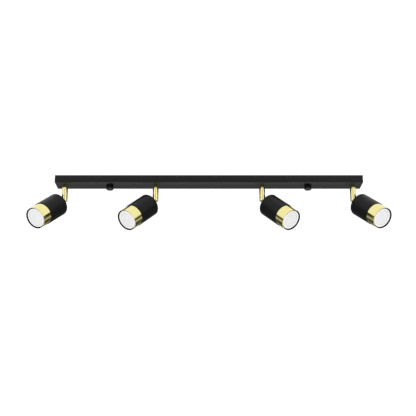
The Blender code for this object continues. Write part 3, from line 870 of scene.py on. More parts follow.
@dataclass
class CeilingBar:
    """The folded channel and the strip that holds it to the ceiling."""

    finishes: Finishes
    spots: list[SpotFrame]
    sheet: float = 1.2
    fold: float = 1.0
    inner_fold: float = 0.35
    nipple_hole: float = 5.3
    stud_hole: float = 2.9
    seam_width: float = 0.25
    seam_depth: float = 0.3
    strip_corner: float = 4.0
    slot_x: float = 200.0
    slot_size: tuple[float, float] = (16.0, 5.4)
    cable_hole: tuple[float, float] = (40.0, 8.0)
    countersink: tuple[float, float] = (5.0, 3.57)

    def build(self) -> None:
        """Makes and dresses the channel, the strip and the cable hole's grommet."""
        dress(self.channel(), self.finishes.bar, "rail", "bar_channel")
        dress(self.strip(), self.finishes.zinc, "rail", "ceiling_strip")
        dress(self.cable_grommet(), self.finishes.grommet, "rail")

    def knob_places(self) -> list[float]:
        """Where the two fixing studs go through, along the bar."""
        boxes = [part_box(f"fixing_stud_{i}") for i in (1, 2)]
        return [(low.x + high.x) / 2 / MM for low, high in boxes]

    def channel(self) -> Object:
        """The channel: a box sunk from its top, its folds rounded, seamed and drilled."""
        low, high = (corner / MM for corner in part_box("bar_channel"))
        channel = Bench.block("folded_channel", low, high)
        Bench.edit_faces(channel, lambda centre, normal: normal.z > 0.9)
        bpy.ops.mesh.inset(thickness=self.sheet * MM)
        Bench.extrude(low.z + self.sheet - high.z)
        Bench.close_edit()
        self._fold(channel, low, high, 0.0, self.fold)
        self._fold(channel, low, high, self.sheet, self.inner_fold)
        top = low.z + self.sheet + 2
        drills = [Bench.rod(self.stud_hole, low.z - 2, top, (x, 0)) for x in self.knob_places()]
        for spot in self.spots:
            x = spot.stem.translation.x / MM
            drills.append(Bench.rod(self.nipple_hole, low.z - 2, top, (x, 0)))
        Bench.combine(channel, drills + self._seams(low, high))
        return Bench.smooth(channel)

    def _fold(self, channel: Object, low: Vector, high: Vector, inside: float, radius: float) -> None:
        """Rounds the folds of the outer skin, or of the inner one when inside is the sheet."""
        half_x, half_y, floor = high.x - inside, high.y - inside, low.z + inside

        def on_skin(start: Vector, end: Vector) -> bool:
            """Whether an edge is an upright corner of this skin that starts at its floor."""
            at_corners = all(
                abs(abs(point.x) - half_x) < ON_CORNER and abs(abs(point.y) - half_y) < ON_CORNER
                for point in (start, end)
            )
            return at_corners and min(start.z, end.z) < floor + ON_CORNER

        Bench.edit_edges(channel, on_skin)
        bpy.ops.mesh.bevel(offset=radius * MM, segments=4, affect="EDGES")
        Bench.close_edit()

    def _seams(self, low: Vector, high: Vector) -> list[Object]:
        """Cutters for the four slits where the end flaps meet the long walls."""
        cutters = []
        for x in (low.x, high.x):
            for y in (low.y + self.sheet + self.fold, high.y - self.sheet - self.fold):
                near = (x - self.seam_depth, y - self.seam_width / 2, low.z + 2 * self.fold)
                far = (x + self.seam_depth, y + self.seam_width / 2, high.z + 1)
                cutters.append(Bench.block("seam", near, far))
        return cutters

    def strip(self) -> Object:
        """The strip: a rounded outline, punched and countersunk."""
        low, high = (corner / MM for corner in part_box("ceiling_strip"))
        corners = [(low.x, low.y), (high.x, low.y), (high.x, high.y), (low.x, high.y)]
        outline = rounded([(x, y, self.strip_corner) for x, y in corners], steps=8)
        strip = Bench.extruded("ceiling_strip_plate", outline, low.z, high.z)
        punches = [
            Bench.extruded("slot", long_slot((x, 0), *self.slot_size), low.z - 2, high.z + 2)
            for x in (-self.slot_x, self.slot_x)
        ]
        hole_x, hole_radius = self.cable_hole
        punches.append(Bench.rod(hole_radius, low.z - 2, high.z + 2, (hole_x, 0)))
        mouth, throat = self.countersink
        slope = (mouth - throat) / (high.z - low.z)
        for x in self.knob_places():
            cone = [(0, high.z + 1), (mouth + slope, high.z + 1), (throat - slope, low.z - 1), (0, low.z - 1)]
            punches.append(Bench.lay(Bench.turned("sink", cone, FINE_SIDES), at=(x, 0, 0)))
        Bench.combine(strip, punches)
        return Bench.eased(strip, 0.15)

    def cable_grommet(self) -> Object:
        """The rubber grommet in the strip's cable hole, with a lip below the strip."""
        low, high = (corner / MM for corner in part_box("ceiling_strip"))
        hole_x, radius = self.cable_hole
        inner, lip = radius - 1.6, radius + 1.4
        profile = rounded([
            (inner, high.z, 0), (radius, high.z, 0), (radius, low.z, 0), (lip, low.z - 0.1, 0.4),
            (lip - 0.4, low.z - 1.6, 0.5), (inner, low.z - 1.9, 0.5),
        ])
        return Bench.lay(Bench.turned("cable_grommet", profile, FINE_SIDES), at=(hole_x, 0, 0))


@dataclass
class BarFixings:
    """The two countersunk studs and the knob nuts that draw the bar up."""

    finishes: Finishes
    nodes: dict[str, Object]
    pitch: float = 0.8
    thread_depth: float = 0.35
    head_depth: float = 1.43
    recess: tuple[float, float, float] = (2.4, 0.8, 1.1)
    ridges: int = 48
    ridge_depth: float = 0.028
    crown: float = 2.4

    def build(self) -> None:
        """Places a stud and a knob nut on each side."""
        stud = Fitting(self.stud(), self.finishes.zinc)
        knob = Fitting(self.knob(), self.finishes.knob)
        for number in (1, 2):
            place = self.place(number)
            stud.set_in(f"threaded_stud_{number}", place, "rail", f"fixing_stud_{number}")
            knob.set_in(f"ridged_knob_{number}", place, f"knob_{number}", f"knob_nut_{number}")
        stud.discard()
        knob.discard()

    def place(self, number: int) -> Matrix:
        """The frame of one stud: its axis upright, its origin on the ceiling plane."""
        low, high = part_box(f"fixing_stud_{number}")
        return Matrix.Translation(((low.x + high.x) / 2, (low.y + high.y) / 2, 0))

    def stud(self) -> Object:
        """A countersunk stud with a cross recess and a thread over its whole shaft."""
        node = Span.of(self.nodes["fixing_stud_1"], self.place(1))
        shaft = node.radius - 2.0
        neck = node.high - self.head_depth
        profile = [(0, node.high), (node.radius - 0.1, node.high), (node.radius, node.high - 0.12)]
        profile += [(shaft, neck), (shaft, neck - 1.0)]
        profile += thread(shaft, node.low + 0.7, neck - 1.2, self.pitch, self.thread_depth)
        profile += [(shaft - 0.1, node.low + 0.5), (shaft - 0.6, node.low), (0, node.low)]
        stud = Bench.turned("stud", profile, FINE_SIDES)
        reach, width, depth = self.recess
        cross = [
            Bench.block("recess", (-x, -y, node.high - depth), (x, y, node.high + 1))
            for x, y in ((reach, width / 2), (width / 2, reach))
        ]
        Bench.combine(stud, cross)
        return Bench.smooth(stud)

    def knob(self) -> Object:
        """A blind nut with a ridged side and a softly crowned underside."""
        node = Span.of(self.nodes["knob_nut_1"], self.place(1))
        bore = node.low + 1.4
        hole = 2.9
        radius = node.radius
        profile = [(0, bore), (hole, bore), (hole, node.high - 0.4)]
        profile += rounded([
            (hole, node.high - 0.4, 0), (hole + 0.4, node.high, 0), (radius, node.high, 0.5),
            (radius, node.low, self.crown), (0, node.low, 0),
        ], closed=False, steps=6)[1:]
        knob = Bench.turned("knob", profile, 2 * self.ridges)
        low, high = node.low + 1.3, node.high - 0.2

        def in_groove(place: Vector) -> bool:
            """Whether a place is on every second column of the knob's side."""
            index = round(math.atan2(place.y, place.x) / math.tau * 2 * self.ridges)
            outside = math.hypot(place.x, place.y) > radius - 0.9
            return index % 2 == 0 and outside and low < place.z < high

        Bench.edit(knob, in_groove)
        shrink = 1 - self.ridge_depth
        bpy.ops.transform.resize(value=(shrink, shrink, 1), center_override=(0, 0, 0))
        Bench.close_edit()
        return Bench.smooth(knob, 25.0)


@dataclass
class Wiring:
    """The terminal block, the earth stud and the leads along the bar."""

    finishes: Finishes
    spots: list[SpotFrame]
    pole_spacing: float = 9.0
    pole_height: float = 5.0
    well_x: float = 4.5
    tower: float = 3.3
    insert: tuple[float, float] = (1.7, 1.25)
    screw: tuple[float, float] = (1.75, 1.5)
    lead_radius: float = 1.6
    lead_floor: float = -15.5
    lead_peak: float = -4.3
    lead_start: float = 13.0
    lead_end: float = -34.0
    core_radius: float = 0.75

    def build(self) -> None:
        """Makes and dresses everything electrical on the bar."""
        block = dress(self.block(), self.finishes.terminal, "rail", "terminal_block")
        LOG.info("%s holds %d poles", block.name, len(self.poles()))
        self._inserts()
        self._earth()
        for spot in self.spots:
            self._lead(spot)

    def poles(self) -> list[float]:
        """Where the three poles lie across the bar."""
        return [self.pole_spacing * (i - 1) for i in range(3)]

    def block(self) -> Object:
        """The moulded block: a base with a pair of screw towers on each pole."""
        low, high = (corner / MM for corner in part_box("terminal_block"))
        shoulder = high.z - 3.6
        block = Bench.block("terminal_strip", low, (high.x, high.y, shoulder))
        wells = [(x, y) for y in self.poles() for x in (-self.well_x, self.well_x)]
        towers = [Bench.rod(self.tower, low.z + 1, high.z, well) for well in wells]
        Bench.combine(block, towers, Join.ADD)
        axis = low.z + self.pole_height
        cuts = [Bench.rod(2.0, axis, high.z + 2, well) for well in wells]
        for y in self.poles():
            tunnel = Bench.rod(1.8, low.x - 2, high.x + 2)
            cuts.append(Bench.lay(tunnel, Axis.X, (0, y, axis)))
        for y in (-self.pole_spacing / 2, self.pole_spacing / 2):
            cuts.append(Bench.rod(1.4, low.z - 1, high.z, (0, y)))
            for x in (low.x, high.x):
                waist = Bench.block("waist", (x - 2.5, y - 0.6, low.z - 1), (x + 2.5, y + 0.6, high.z + 1))
                cuts.append(waist)
        Bench.combine(block, cuts)
        return Bench.eased(block, 0.2)

    def _inserts(self) -> None:
        """Brass tubes in the block's tunnels, and the slotted screws that clamp the cores."""
        low, high = (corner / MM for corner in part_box("terminal_block"))
        axis = low.z + self.pole_height
        outer, inner = self.insert
        length = (high.x - low.x) / 2 - 0.6
        profile = rounded([
            (inner, -length, 0.1), (outer, -length, 0.15), (outer, length, 0.15), (inner, length, 0.1),
        ], steps=2)
        tube = Fitting(Bench.lay(Bench.turned("insert", profile, 32), Axis.X), self.finishes.brass)
        screw = Fitting(self._terminal_screw(), self.finishes.zinc)
        for pole, y in enumerate(self.poles(), start=1):
            tube.set_in(f"terminal_tube_{pole}", Matrix.Translation(Vector((0, y, axis)) * MM), "rail")
            for side, x in (("left", -self.well_x), ("right", self.well_x)):
                place = Matrix.Translation(Vector((x, y, axis + outer + 0.1)) * MM)
                screw.set_in(f"terminal_screw_{pole}_{side}", place, "rail")
        tube.discard()
        screw.discard()

    def _terminal_screw(self) -> Object:
        """A small cheese-head screw with one slot."""
        radius, height = self.screw
        profile = rounded([
            (0, 0, 0), (radius, 0, 0.1), (radius, height, 0.25), (0, height, 0),
        ], closed=False, steps=3)
        screw = Bench.turned("terminal_screw", profile, 32)
        slot = Bench.block("slot", (-radius - 1, -0.22, height - 0.6), (radius + 1, 0.22, height + 1))
        return Bench.smooth(Bench.combine(screw, [slot]))

    def _earth(self) -> None:
        """The earth stud with its nut, and the earth core from the block's middle pole."""
        low, high = (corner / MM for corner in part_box("earth_stud"))
        x, y = (low.x + high.x) / 2, (low.y + high.y) / 2
        radius = 2.0
        profile = [(0, low.z), (3.5, low.z), (3.6, low.z + 0.15), (3.6, low.z + 1.5), (3.5, low.z + 1.6)]
        profile += [(radius, low.z + 1.6), (radius, low.z + 1.9)]
        crests = thread(radius, low.z + 2.0, high.z - 0.4, 0.7, 0.3)
        profile += crests[::-1] + [(radius - 0.4, high.z), (0, high.z)]
        stud = Bench.smooth(Bench.turned("threaded_earth_stud", profile, FINE_SIDES))
        dress(Bench.lay(stud, at=(x, y, 0)), self.finishes.brass, "rail", "earth_stud")
        ring_low = low.z + 1.7
        eye = rounded([
            (2.2, ring_low, 0.1), (3.9, ring_low, 0.2),
            (3.9, ring_low + 0.8, 0.2), (2.2, ring_low + 0.8, 0.1),
        ], steps=2)
        ring = Bench.smooth(Bench.turned("earth_eyelet", eye, FINE_SIDES))
        dress(Bench.lay(ring, at=(x, y, 0)), self.finishes.nickel, "rail")
        nut = hex_nut("earth_nut", 7.0, radius + 0.05, ring_low + 0.9, ring_low + 3.3)
        dress(Bench.lay(nut, at=(x, y, 0)), self.finishes.brass, "rail")
        block_low, block_high = (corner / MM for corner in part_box("terminal_block"))
        start = block_low.z + self.pole_height
        route = smooth_route([
            (block_high.x - 2, 0, start), (block_high.x + 4, 0, start), (block_high.x + 12, -3, start - 1.5),
            (x - 22, -5, start - 2.0), (x - 10, -2, ring_low + 1.2), (x - 3.2, 0, ring_low + 0.8),
        ], 8)
        core = Bench.cable("earth_core", route, self.core_radius)
        dress(core, self.finishes.core_earth, "rail")

    def _lead(self, spot: SpotFrame) -> None:
        """A spot's sleeved lead, and the two cores from its end to the block."""
        x = spot.stem.translation.x / MM
        side = math.copysign(1.0, x)
        outer = spot.number in (1, len(self.spots))
        route = self.lead_route(abs(x), outer)
        points = smooth_route([(side * px, py, pz) for px, py, pz in route], 8)
        lead = Bench.cable(f"sleeved_lead_{spot.number}", points, self.lead_radius)
        dress(lead, self.finishes.white_sleeve, "rail", f"lamp_lead_{spot.number}")
        low, high = (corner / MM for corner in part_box("terminal_block"))
        start_y = route[0][1]
        axis = low.z + self.pole_height
        cores = (
            ("live", self.pole_spacing, self.finishes.core_brown, 0.55),
            ("neutral", -self.pole_spacing, self.finishes.core_blue, -0.55),
        )
        for name, pole, finish, shift in cores:
            across = 0.45 if outer else -0.45
            core_route = smooth_route([
                (side * (self.lead_start + 1.5), start_y + shift * 0.8, self.lead_floor),
                (side * (self.lead_start - 0.6), start_y + shift, self.lead_floor + 0.2),
                (side * (high.x + 2.0), (start_y + pole * 2) / 3, (self.lead_floor + axis) / 2 + shift),
                (side * (high.x + 0.8), pole + across, axis),
                (side * (high.x - 2.0), pole + across, axis),
            ], 6)
            core = Bench.cable(f"{name}_core_{spot.number}", core_route, self.core_radius)
            dress(core, finish, "rail")

    def lead_route(self, far: float, outer: bool) -> list[Point]:
        """A lead's points, from beside the block along the floor, over the nipple and down the stem."""
        run = (far - self.lead_start) / 3
        lane, start = (18.0, 3.0) if outer else (12.0, 0.0)
        floor, peak = self.lead_floor, self.lead_peak
        return [
            (self.lead_start, lane - start, floor), (self.lead_start + 14, lane - start / 3, floor),
            (self.lead_start + run, lane, floor), (far - run, lane, floor),
            (far - 22, lane - 0.5, floor), (far - 12, lane - 3, floor + 4),
            (far - 5, lane * 0.45, peak - 1), (far - 1.2, lane * 0.12, peak - 0.8),
            (far, 0, peak - 5.5), (far, 0, peak - 14), (far, 0, self.lead_end),
        ]


def hex_nut(name: str, flats: float, bore: float, low: float, high: float, chamfer: float = 0.5) -> Object:
    """A hexagon nut with turned chamfers and a threaded bore.

    Args:
        name: the nut's name.
        flats: width across flats.
        bore: radius of the hole.
        low: height of its lower face.
        high: height of its upper face.
        chamfer: drop of the corners at each face.

    Returns:
        The nut, its bore on the Z axis.
    """
    corner = flats / 2 / math.cos(math.pi / 6)
    hexagon = [
        (corner * math.cos(math.tau * i / 6), corner * math.sin(math.tau * i / 6)) for i in range(6)
    ]
    nut = Bench.extruded(name, hexagon, low, high)
    flat = flats / 2 * 0.98
    spread = (corner + 0.5 - flat) * chamfer / (corner - flat)
    cones = []
    for face, inward in ((high, -1), (low, 1)):
        profile = [
            (flat, face), (corner + 0.5, face + inward * spread), (corner + 2, face + inward * spread),
            (corner + 2, face - inward), (flat, face - inward),
        ]
        cones.append(Bench.turned("chamfer", profile, FINE_SIDES))
    mouth = 0.35
    hole = [(0, low - 1), (bore + mouth, low - 1), (bore + mouth, low), (bore, low + mouth)]
    hole += thread(bore, low + mouth, high - mouth, 0.7, -0.2)[::-1]
    hole += [(bore, high - mouth), (bore + mouth, high), (bore + mouth, high + 1), (0, high + 1)]
    cones.append(Bench.turned("bore", hole, FINE_SIDES))
    return Bench.smooth(Bench.combine(nut, cones), 25.0)


@dataclass
class SpotArm:
    """The gold stem with its nut and washer, the hinge pin and the lead's sleeve."""

    finishes: Finishes
    nodes: dict[str, Object]
    spots: list[SpotFrame]
    nipple: float = 4.9
    bore: float = 3.0
    slot: float = 4.6
    slot_top: float = 8.5
    web: float = 4.6
    pitch: float = 1.0
    nut_flats: float = 14.0
    washer: tuple[float, float, float] = (5.2, 8.4, 0.26)
    washer_teeth: int = 24
    sleeve_radius: float = 1.6
    sleeve_top: float = -34.6
    sleeve_clearance: float = 6.2
    sleeve_end: float = 37.0
    pin_half: float = 7.25

    @property
    def drop(self) -> float:
        """How far the hinge lies below the stem's origin."""
        spot = self.spots[0]
        return (spot.stem.translation - spot.hinge).z / MM

    def build(self) -> None:
        """Models each piece once and places it on every spot."""
        first = self.spots[0]
        stem = Fitting(self.stem(Span.of(self.nodes["stem_1"], first.stem)), self.finishes.gold)
        nut_span = Span.of(self.nodes["stem_nut_1"], first.stem)
        nut_model = hex_nut("nut", self.nut_flats, self.nipple + 0.08, nut_span.low, nut_span.high, 0.7)
        nut = Fitting(nut_model, self.finishes.zinc)
        washer = Fitting(self.tooth_washer(nut_span.low), self.finishes.zinc)
        pin = Fitting(self.pin(), self.finishes.gold)
        for spot in self.spots:
            k, body = spot.number, spot.arm_body
            stem.set_in(f"gold_stem_{k}", spot.stem, body, f"stem_{k}")
            nut.set_in(f"hex_nut_{k}", spot.stem, body, f"stem_nut_{k}")
            washer.set_in(f"tooth_washer_{k}", spot.stem, body)
            pin.set_in(f"slotted_pin_{k}", spot.stem, body, f"hinge_pin_{k}")
            self.sleeve(spot)
        for fitting in (stem, nut, washer, pin):
            fitting.discard()

    def stem(self, node: Span) -> Object:
        """The stem: turned with its threaded nipple, bored, forked and drilled for the pin."""
        slot_top = -self.drop + self.slot_top
        collar = -0.3
        profile = [(0, slot_top - 1), (self.bore, slot_top - 1), (self.bore, node.high - 0.3)]
        profile += [(self.bore + 0.3, node.high), (self.nipple - 0.6, node.high)]
        profile += thread(self.nipple, collar + 0.9, node.high - 0.5, self.pitch, 0.45)
        profile += [(self.nipple - 0.5, collar + 0.5), (self.nipple - 0.5, collar)]
        profile += rounded([
            (self.nipple - 0.5, collar, 0), (node.radius, collar, 0.35),
            (node.radius, node.low, 0.55), (0, node.low, 0),
        ], closed=False, steps=5)[1:]
        stem = Bench.turned("stem", profile, SIDES)
        far = node.radius + 2
        slot = Bench.block("slot", (-self.web, -self.slot / 2, node.low - 2), (far, self.slot / 2, slot_top))
        hole = Bench.lay(Bench.rod(1.9, -far, far), Axis.Y, (0, 0, -self.drop))
        return Bench.smooth(Bench.combine(stem, [slot, hole]), 32.0)

    def tooth_washer(self, nut_low: float) -> Object:
        """The toothed washer between the nut and the bar's floor."""
        inner, outer, thickness = self.washer
        count = 2 * self.washer_teeth
        outline = []
        for i in range(count):
            radius = outer if i % 2 else outer - 0.9
            angle = math.tau * i / count
            outline.append((radius * math.cos(angle), radius * math.sin(angle)))
        washer = Bench.extruded("washer", outline, nut_low - thickness - 0.02, nut_low - 0.02)
        Bench.combine(washer, [Bench.rod(inner, nut_low - 2, nut_low + 2)])
        return Bench.smooth(washer)

    def pin(self) -> Object:
        """The hinge pin: crowned ends, one of them slotted."""
        low, high = (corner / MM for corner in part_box("hinge_pin_1"))
        radius = (high.z - low.z) / 2
        half = self.pin_half
        profile = rounded([
            (0, -half, 0), (radius, -half, 0.3), (radius, half, 0.3), (0, half, 0),
        ], closed=False, steps=4)
        pin = Bench.turned("pin", profile, FINE_SIDES)
        slot = Bench.block("slot", (-radius - 1, -0.25, half - 0.6), (radius + 1, 0.25, half + 1))
        Bench.smooth(Bench.combine(pin, [slot]))
        return Bench.lay(pin, Axis.Y, (0, 0, -self.drop))

    def sleeve_route(self, spot: SpotFrame) -> list[Vector]:
        """From the stem's bore, out over the tongue and through the head's back, in metres."""
        back = spot.stem.inverted()
        hinge = back @ spot.hinge / MM
        forward = (back.to_3x3() @ spot.head.to_3x3() @ Vector((0, 0, 1))).normalized()
        up = (back.to_3x3() @ spot.head.to_3x3() @ Vector((0, 1, 0))).normalized()
        clearance, lead_hole = self.sleeve_clearance, 8.0
        top = self.sleeve_top - spot.stem.translation.z / MM
        points = [Vector((0, 0, top)), hinge + Vector((0.1, 0, 14)), hinge + Vector((0.4, 0, 10.4))]
        along = [
            (-3.1, clearance + 0.3), (1.8, clearance), (8.0, clearance + 0.5), (18.0, lead_hole + 0.6),
            (26.0, lead_hole + 0.2), (31.0, lead_hole), (self.sleeve_end, lead_hole),
        ]
        points += [hinge + forward * station + up * rise for station, rise in along]
        return [spot.stem @ (point * MM) for point in smooth_route([tuple(p) for p in points], 10)]

    def sleeve(self, spot: SpotFrame) -> None:
        """The black sleeve, laid in its rest shape from the arm into the head."""
        route = self.sleeve_route(spot)
        sleeve = Bench.cable(f"woven_sleeve_{spot.number}", route, self.sleeve_radius)
        sleeve.data.materials.append(self.finishes.black_sleeve)
        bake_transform(sleeve)
        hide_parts(f"lead_sleeve_{spot.number}")
        LOG.info("%s bends between %s and %s", sleeve.name, spot.arm_body, spot.head_body)


@dataclass
class SpotHead:
    """The knuckle, the spun can, the gold ring, and the bracket and holder inside."""

    finishes: Finishes
    nodes: dict[str, Object]
    spots: list[SpotFrame]
    hinge_rise: float = 4.9
    tongue: tuple[float, float] = (4.0, 4.2)
    pin_eye: float = 1.9
    flange_back: float = 27.6
    boss: tuple[float, float] = (4.0, 4.4)
    wall: float = 1.0
    cap: float = 1.5
    cap_edge: float = 1.4
    ring_wall: float = 1.2
    lead_hole: tuple[float, float] = (12.9, 2.2)
    strap: tuple[float, float, float] = (1.2, 14.0, 6.5)
    plate: float = 2.6
    chamber: float = 61.4
    pin_circle: float = 5.0
    bayonet_turn: float = 15.0
    pin_clearances: tuple[float, float] = (2.0, 2.9)

    def build(self) -> None:
        """Models each piece once and places it on every spot."""
        first = self.spots[0]
        spans = {kind: Span.of(self.nodes[f"{kind}_1"], first.head) for kind in (
            "tilt_knuckle", "head_housing", "trim_ring", "holder_bracket", "lamp_holder",
        )}
        finishes = self.finishes
        housing, bracket = spans["head_housing"], spans["holder_bracket"]
        pieces = [
            ("black_knuckle", self.knuckle(spans["tilt_knuckle"], housing), finishes.housing, "tilt_knuckle"),
            ("spun_housing", self.housing(housing), finishes.housing, "head_housing"),
            ("gold_ring", self.ring(spans["trim_ring"]), finishes.gold, "trim_ring"),
            ("steel_strap", self.bracket(bracket), finishes.zinc, "holder_bracket"),
            ("ceramic_holder", self.holder(spans["lamp_holder"]), finishes.ceramic, "lamp_holder"),
            ("lead_grommet", self.grommet(housing), finishes.grommet, None),
            ("boss_nut", self.boss_nut(bracket), finishes.zinc, None),
            ("holder_screws", self.holder_screws(bracket), finishes.zinc, None),
        ]
        for name, model, finish, kind in pieces:
            fitting = Fitting(model, finish)
            for spot in self.spots:
                k = spot.number
                node = f"{kind}_{k}" if kind else None
                piece = fitting.set_in(f"{name}_{k}", spot.head, spot.head_body, node)
                if kind == "trim_ring":
                    # paints shade and dark reflection onto the ring's bore and inner lips
                    self.paint_bore_shade(piece, spot.head)
            fitting.discard()
        for spot in self.spots:
            self._cores(spot, housing, bracket)

    def knuckle(self, node: Span, housing: Span) -> Object:
        """The tongue with its eye, grown out of a flange, with a boss through the can."""
        thickness, half_width = self.tongue
        eye = arc((0, 0), half_width, 90, 270, 24)
        outline = eye + [(self.flange_back + 1, -half_width), (self.flange_back + 1, half_width)]
        tongue = Bench.extruded("knuckle", outline, -thickness / 2, thickness / 2)
        Bench.combine(tongue, [Bench.rod(self.pin_eye, -thickness, thickness)])
        tongue.rotation_euler = (0, -math.pi / 2, math.pi)
        Bench.hold(tongue)
        bpy.ops.object.transform_apply(location=False, rotation=True, scale=False)
        Bench.lay(tongue, at=(0, self.hinge_rise, 0))
        flange_front = housing.low - 0.3
        boss_radius = self.boss[0]
        profile = [(0, self.flange_back)]
        profile += rounded([
            (0, self.flange_back, 0), (7.4, self.flange_back, 0.3), (9.6, flange_front - 1.1, 0.5),
            (9.6, flange_front, 0.2), (boss_radius, flange_front, 0), (boss_radius, node.high, 0.4),
            (0, node.high, 0),
        ], closed=False, steps=4)[1:]
        flange = Bench.turned("flange", profile, SIDES)
        Bench.combine(tongue, [flange], Join.ADD)
        return Bench.eased(tongue, 0.3, 3, 50.0)

    def housing(self, node: Span) -> Object:
        """The can: spun round its rear edge, rolled at its mouth, holed for boss and lead."""
        inner = node.radius - self.wall
        hole = self.boss[1]
        profile = rounded([
            (hole, node.low, 0.2), (node.radius, node.low, self.cap_edge), (node.radius, node.high, 0.35),
            (inner, node.high, 0.35), (inner, node.low + self.cap, 0.6), (hole, node.low + self.cap, 0.2),
        ], steps=6)
        can = Bench.turned("can", profile, SIDES)
        rise, radius = self.lead_hole
        Bench.combine(can, [Bench.rod(radius, node.low - 2, node.low + self.cap + 2, (0, rise))])
        return Bench.smooth(can, 40.0)

    def ring(self, node: Span) -> Object:
        """The plated ring, with a polished round lip."""
        inner = node.radius - self.ring_wall
        profile = rounded([
            (inner, node.low, 0.3), (node.radius, node.low, 0.3), (node.radius, node.high, 0.5),
            (inner, node.high, 0.5),
        ], steps=6)
        return Bench.smooth(Bench.turned("ring", profile, SIDES), 50.0)

    def paint_bore_shade(self, ring: Object, place: Matrix) -> None:
        """Paints the ring's bore and the inner half of its lips matt black as painted shade and painted dark
        reflection, where the gold would mirror dark surroundings.
        """
        ring.data.materials.append(self.finishes.painted_bore_shade)
        axis = place.to_3x3() @ Vector((0, 0, 1))
        for face in ring.data.polygons:
            spoke = face.center - place.translation
            spoke -= axis * spoke.dot(axis)
            # faces that do not face outwards take the painted shade and dark reflection
            if face.normal.dot(spoke.normalized()) < 0.1:
                face.material_index = 1

    def grommet(self, housing: Span) -> Object:
        """The grommet in the can's lead hole, a lip on each side of the metal."""
        rise, hole = self.lead_hole
        low, high = housing.low, housing.low + self.cap
        inner = 1.75
        profile = rounded([
            (inner, low - 0.9, 0.3), (hole + 0.9, low - 0.9, 0.4), (hole + 0.9, low, 0.1), (hole, low, 0),
            (hole, high, 0), (hole + 0.9, high, 0.1), (hole + 0.9, high + 0.8, 0.4), (inner, high + 0.8, 0.3),
        ], steps=3)
        return Bench.smooth(Bench.lay(Bench.turned("grommet", profile, FINE_SIDES), at=(0, rise, 0)))

    def bracket(self, node: Span) -> Object:
        """The strap bent into a frame and drilled for the boss."""
        sheet, span, half_width = self.strap
        corners = [(-span, node.low), (span, node.low), (span, node.high), (-span, node.high)]
        outline = rounded([(x, y, 2.0) for x, y in corners], steps=6)
        strap = Bench.extruded("strap", outline, -half_width, half_width)
        inside = [
            (math.copysign(span - sheet, x), y + (sheet if y == node.low else -sheet), 0.8)
            for x, y in corners
        ]
        cutter = Bench.extruded("inside", rounded(inside, steps=6), -half_width - 1, half_width + 1)
        Bench.combine(strap, [cutter])
        Bench.hold(strap)
        strap.rotation_euler = (math.pi / 2, 0, 0)
        bpy.ops.object.transform_apply(location=False, rotation=True, scale=False)
        drills = [Bench.rod(self.boss[1], node.low - 2, node.low + sheet + 1)]
        Bench.combine(strap, drills)
        return Bench.eased(strap, 0.15)

    def boss_nut(self, bracket: Span) -> Object:
        """The thin nut that clamps strap and can against the flange."""
        low = bracket.low + self.strap[0] + 0.05
        return hex_nut("boss_nut", 11.0, self.boss[0] + 0.05, low, low + 2.2)

    def holder_screws(self, bracket: Span) -> Object:
        """Two pan-head screws through the strap's front plate into the holder."""
        back = bracket.high - self.strap[0]
        screws = []
        for x in (-8.5, 8.5):
            profile = rounded([
                (0, back - 1.5, 0), (1.6, back - 1.5, 0.6), (2.6, back - 0.9, 0.5),
                (2.6, back, 0), (0, back, 0),
            ], closed=False, steps=4)
            screw = Bench.turned("screw", profile, FINE_SIDES)
            slot = Bench.block("slot", (-3, -0.25, back - 2), (3, 0.25, back - 0.9))
            screws.append(Bench.lay(Bench.combine(screw, [slot]), at=(x, 0, 0)))
        return Bench.smooth(Bench.joined("holder_screws", screws))

    def holder(self, node: Span) -> Object:
        """The ceramic holder with its keyhole slots and the chamber that the pins turn in."""
        profile = [(0, node.low)] + rounded([
            (0, node.low, 0), (node.radius - 1.2, node.low, 0.6), (node.radius, node.low + 1.4, 0.6),
            (node.radius, node.high, 0.9), (0, node.high, 0),
        ], closed=False, steps=5)[1:]
        holder = Bench.turned("holder", profile, SIDES)
        neck, head = self.pin_clearances
        back, face = node.high - self.plate, node.high + 1
        cuts = []
        for side in (0.0, 180.0):
            end = side + self.bayonet_turn
            entry = arc((0, 0), self.pin_circle, end, side, 1)[0]
            cuts += [
                Bench.extruded("slot", self._curved_slot(neck, side, end), back - 0.5, face),
                Bench.extruded("chamber", self._curved_slot(head, side, end), self.chamber, back),
                Bench.rod(head, back - 0.5, face, entry),
            ]
        for x in (-9.6, 9.6):
            cuts.append(Bench.rod(1.3, face - 3.0, face, (0, x)))
        return Bench.eased(Bench.combine(holder, cuts), 0.25, 3, 50.0)

    def _curved_slot(self, half_width: float, start: float, end: float) -> Profile:
        """A slot with round ends that follows the pin circle between two angles."""
        near = arc((0, 0), self.pin_circle, start, end, 1)
        outer = arc((0, 0), self.pin_circle + half_width, start, end, 4)[1:-1]
        far_end = arc(near[1], half_width, end, end + 180, 12)
        inner = arc((0, 0), self.pin_circle - half_width, end, start, 4)[1:-1]
        near_end = arc(near[0], half_width, start + 180, start + 360, 12)
        return outer + far_end + inner + near_end

    def _cores(self, spot: SpotFrame, housing: Span, bracket: Span) -> None:
        """The two cores from the sleeve's end to the holder's back, past the strap."""
        rise = self.lead_hole[0]
        finishes = (self.finishes.core_brown, self.finishes.core_blue)
        for name, finish, side in zip(("live", "neutral"), finishes, (1, -1)):
            route = [
                (side * 0.5, rise, housing.low + 4.5), (side * 0.7, rise + 0.1, housing.low + 8),
                (side * 2.0, rise + 1.2, housing.low + 13), (side * 3.6, rise - 0.4, bracket.high - 4),
                (side * 4.2, 10.2, bracket.high + 0.2), (side * 4.2, 9.4, bracket.high + 2.5),
            ]
            points = [spot.head @ point for point in smooth_route(route, 6)]
            core = Bench.cable(f"holder_{name}_core_{spot.number}", points, 0.7)
            dress(core, finish, spot.head_body)


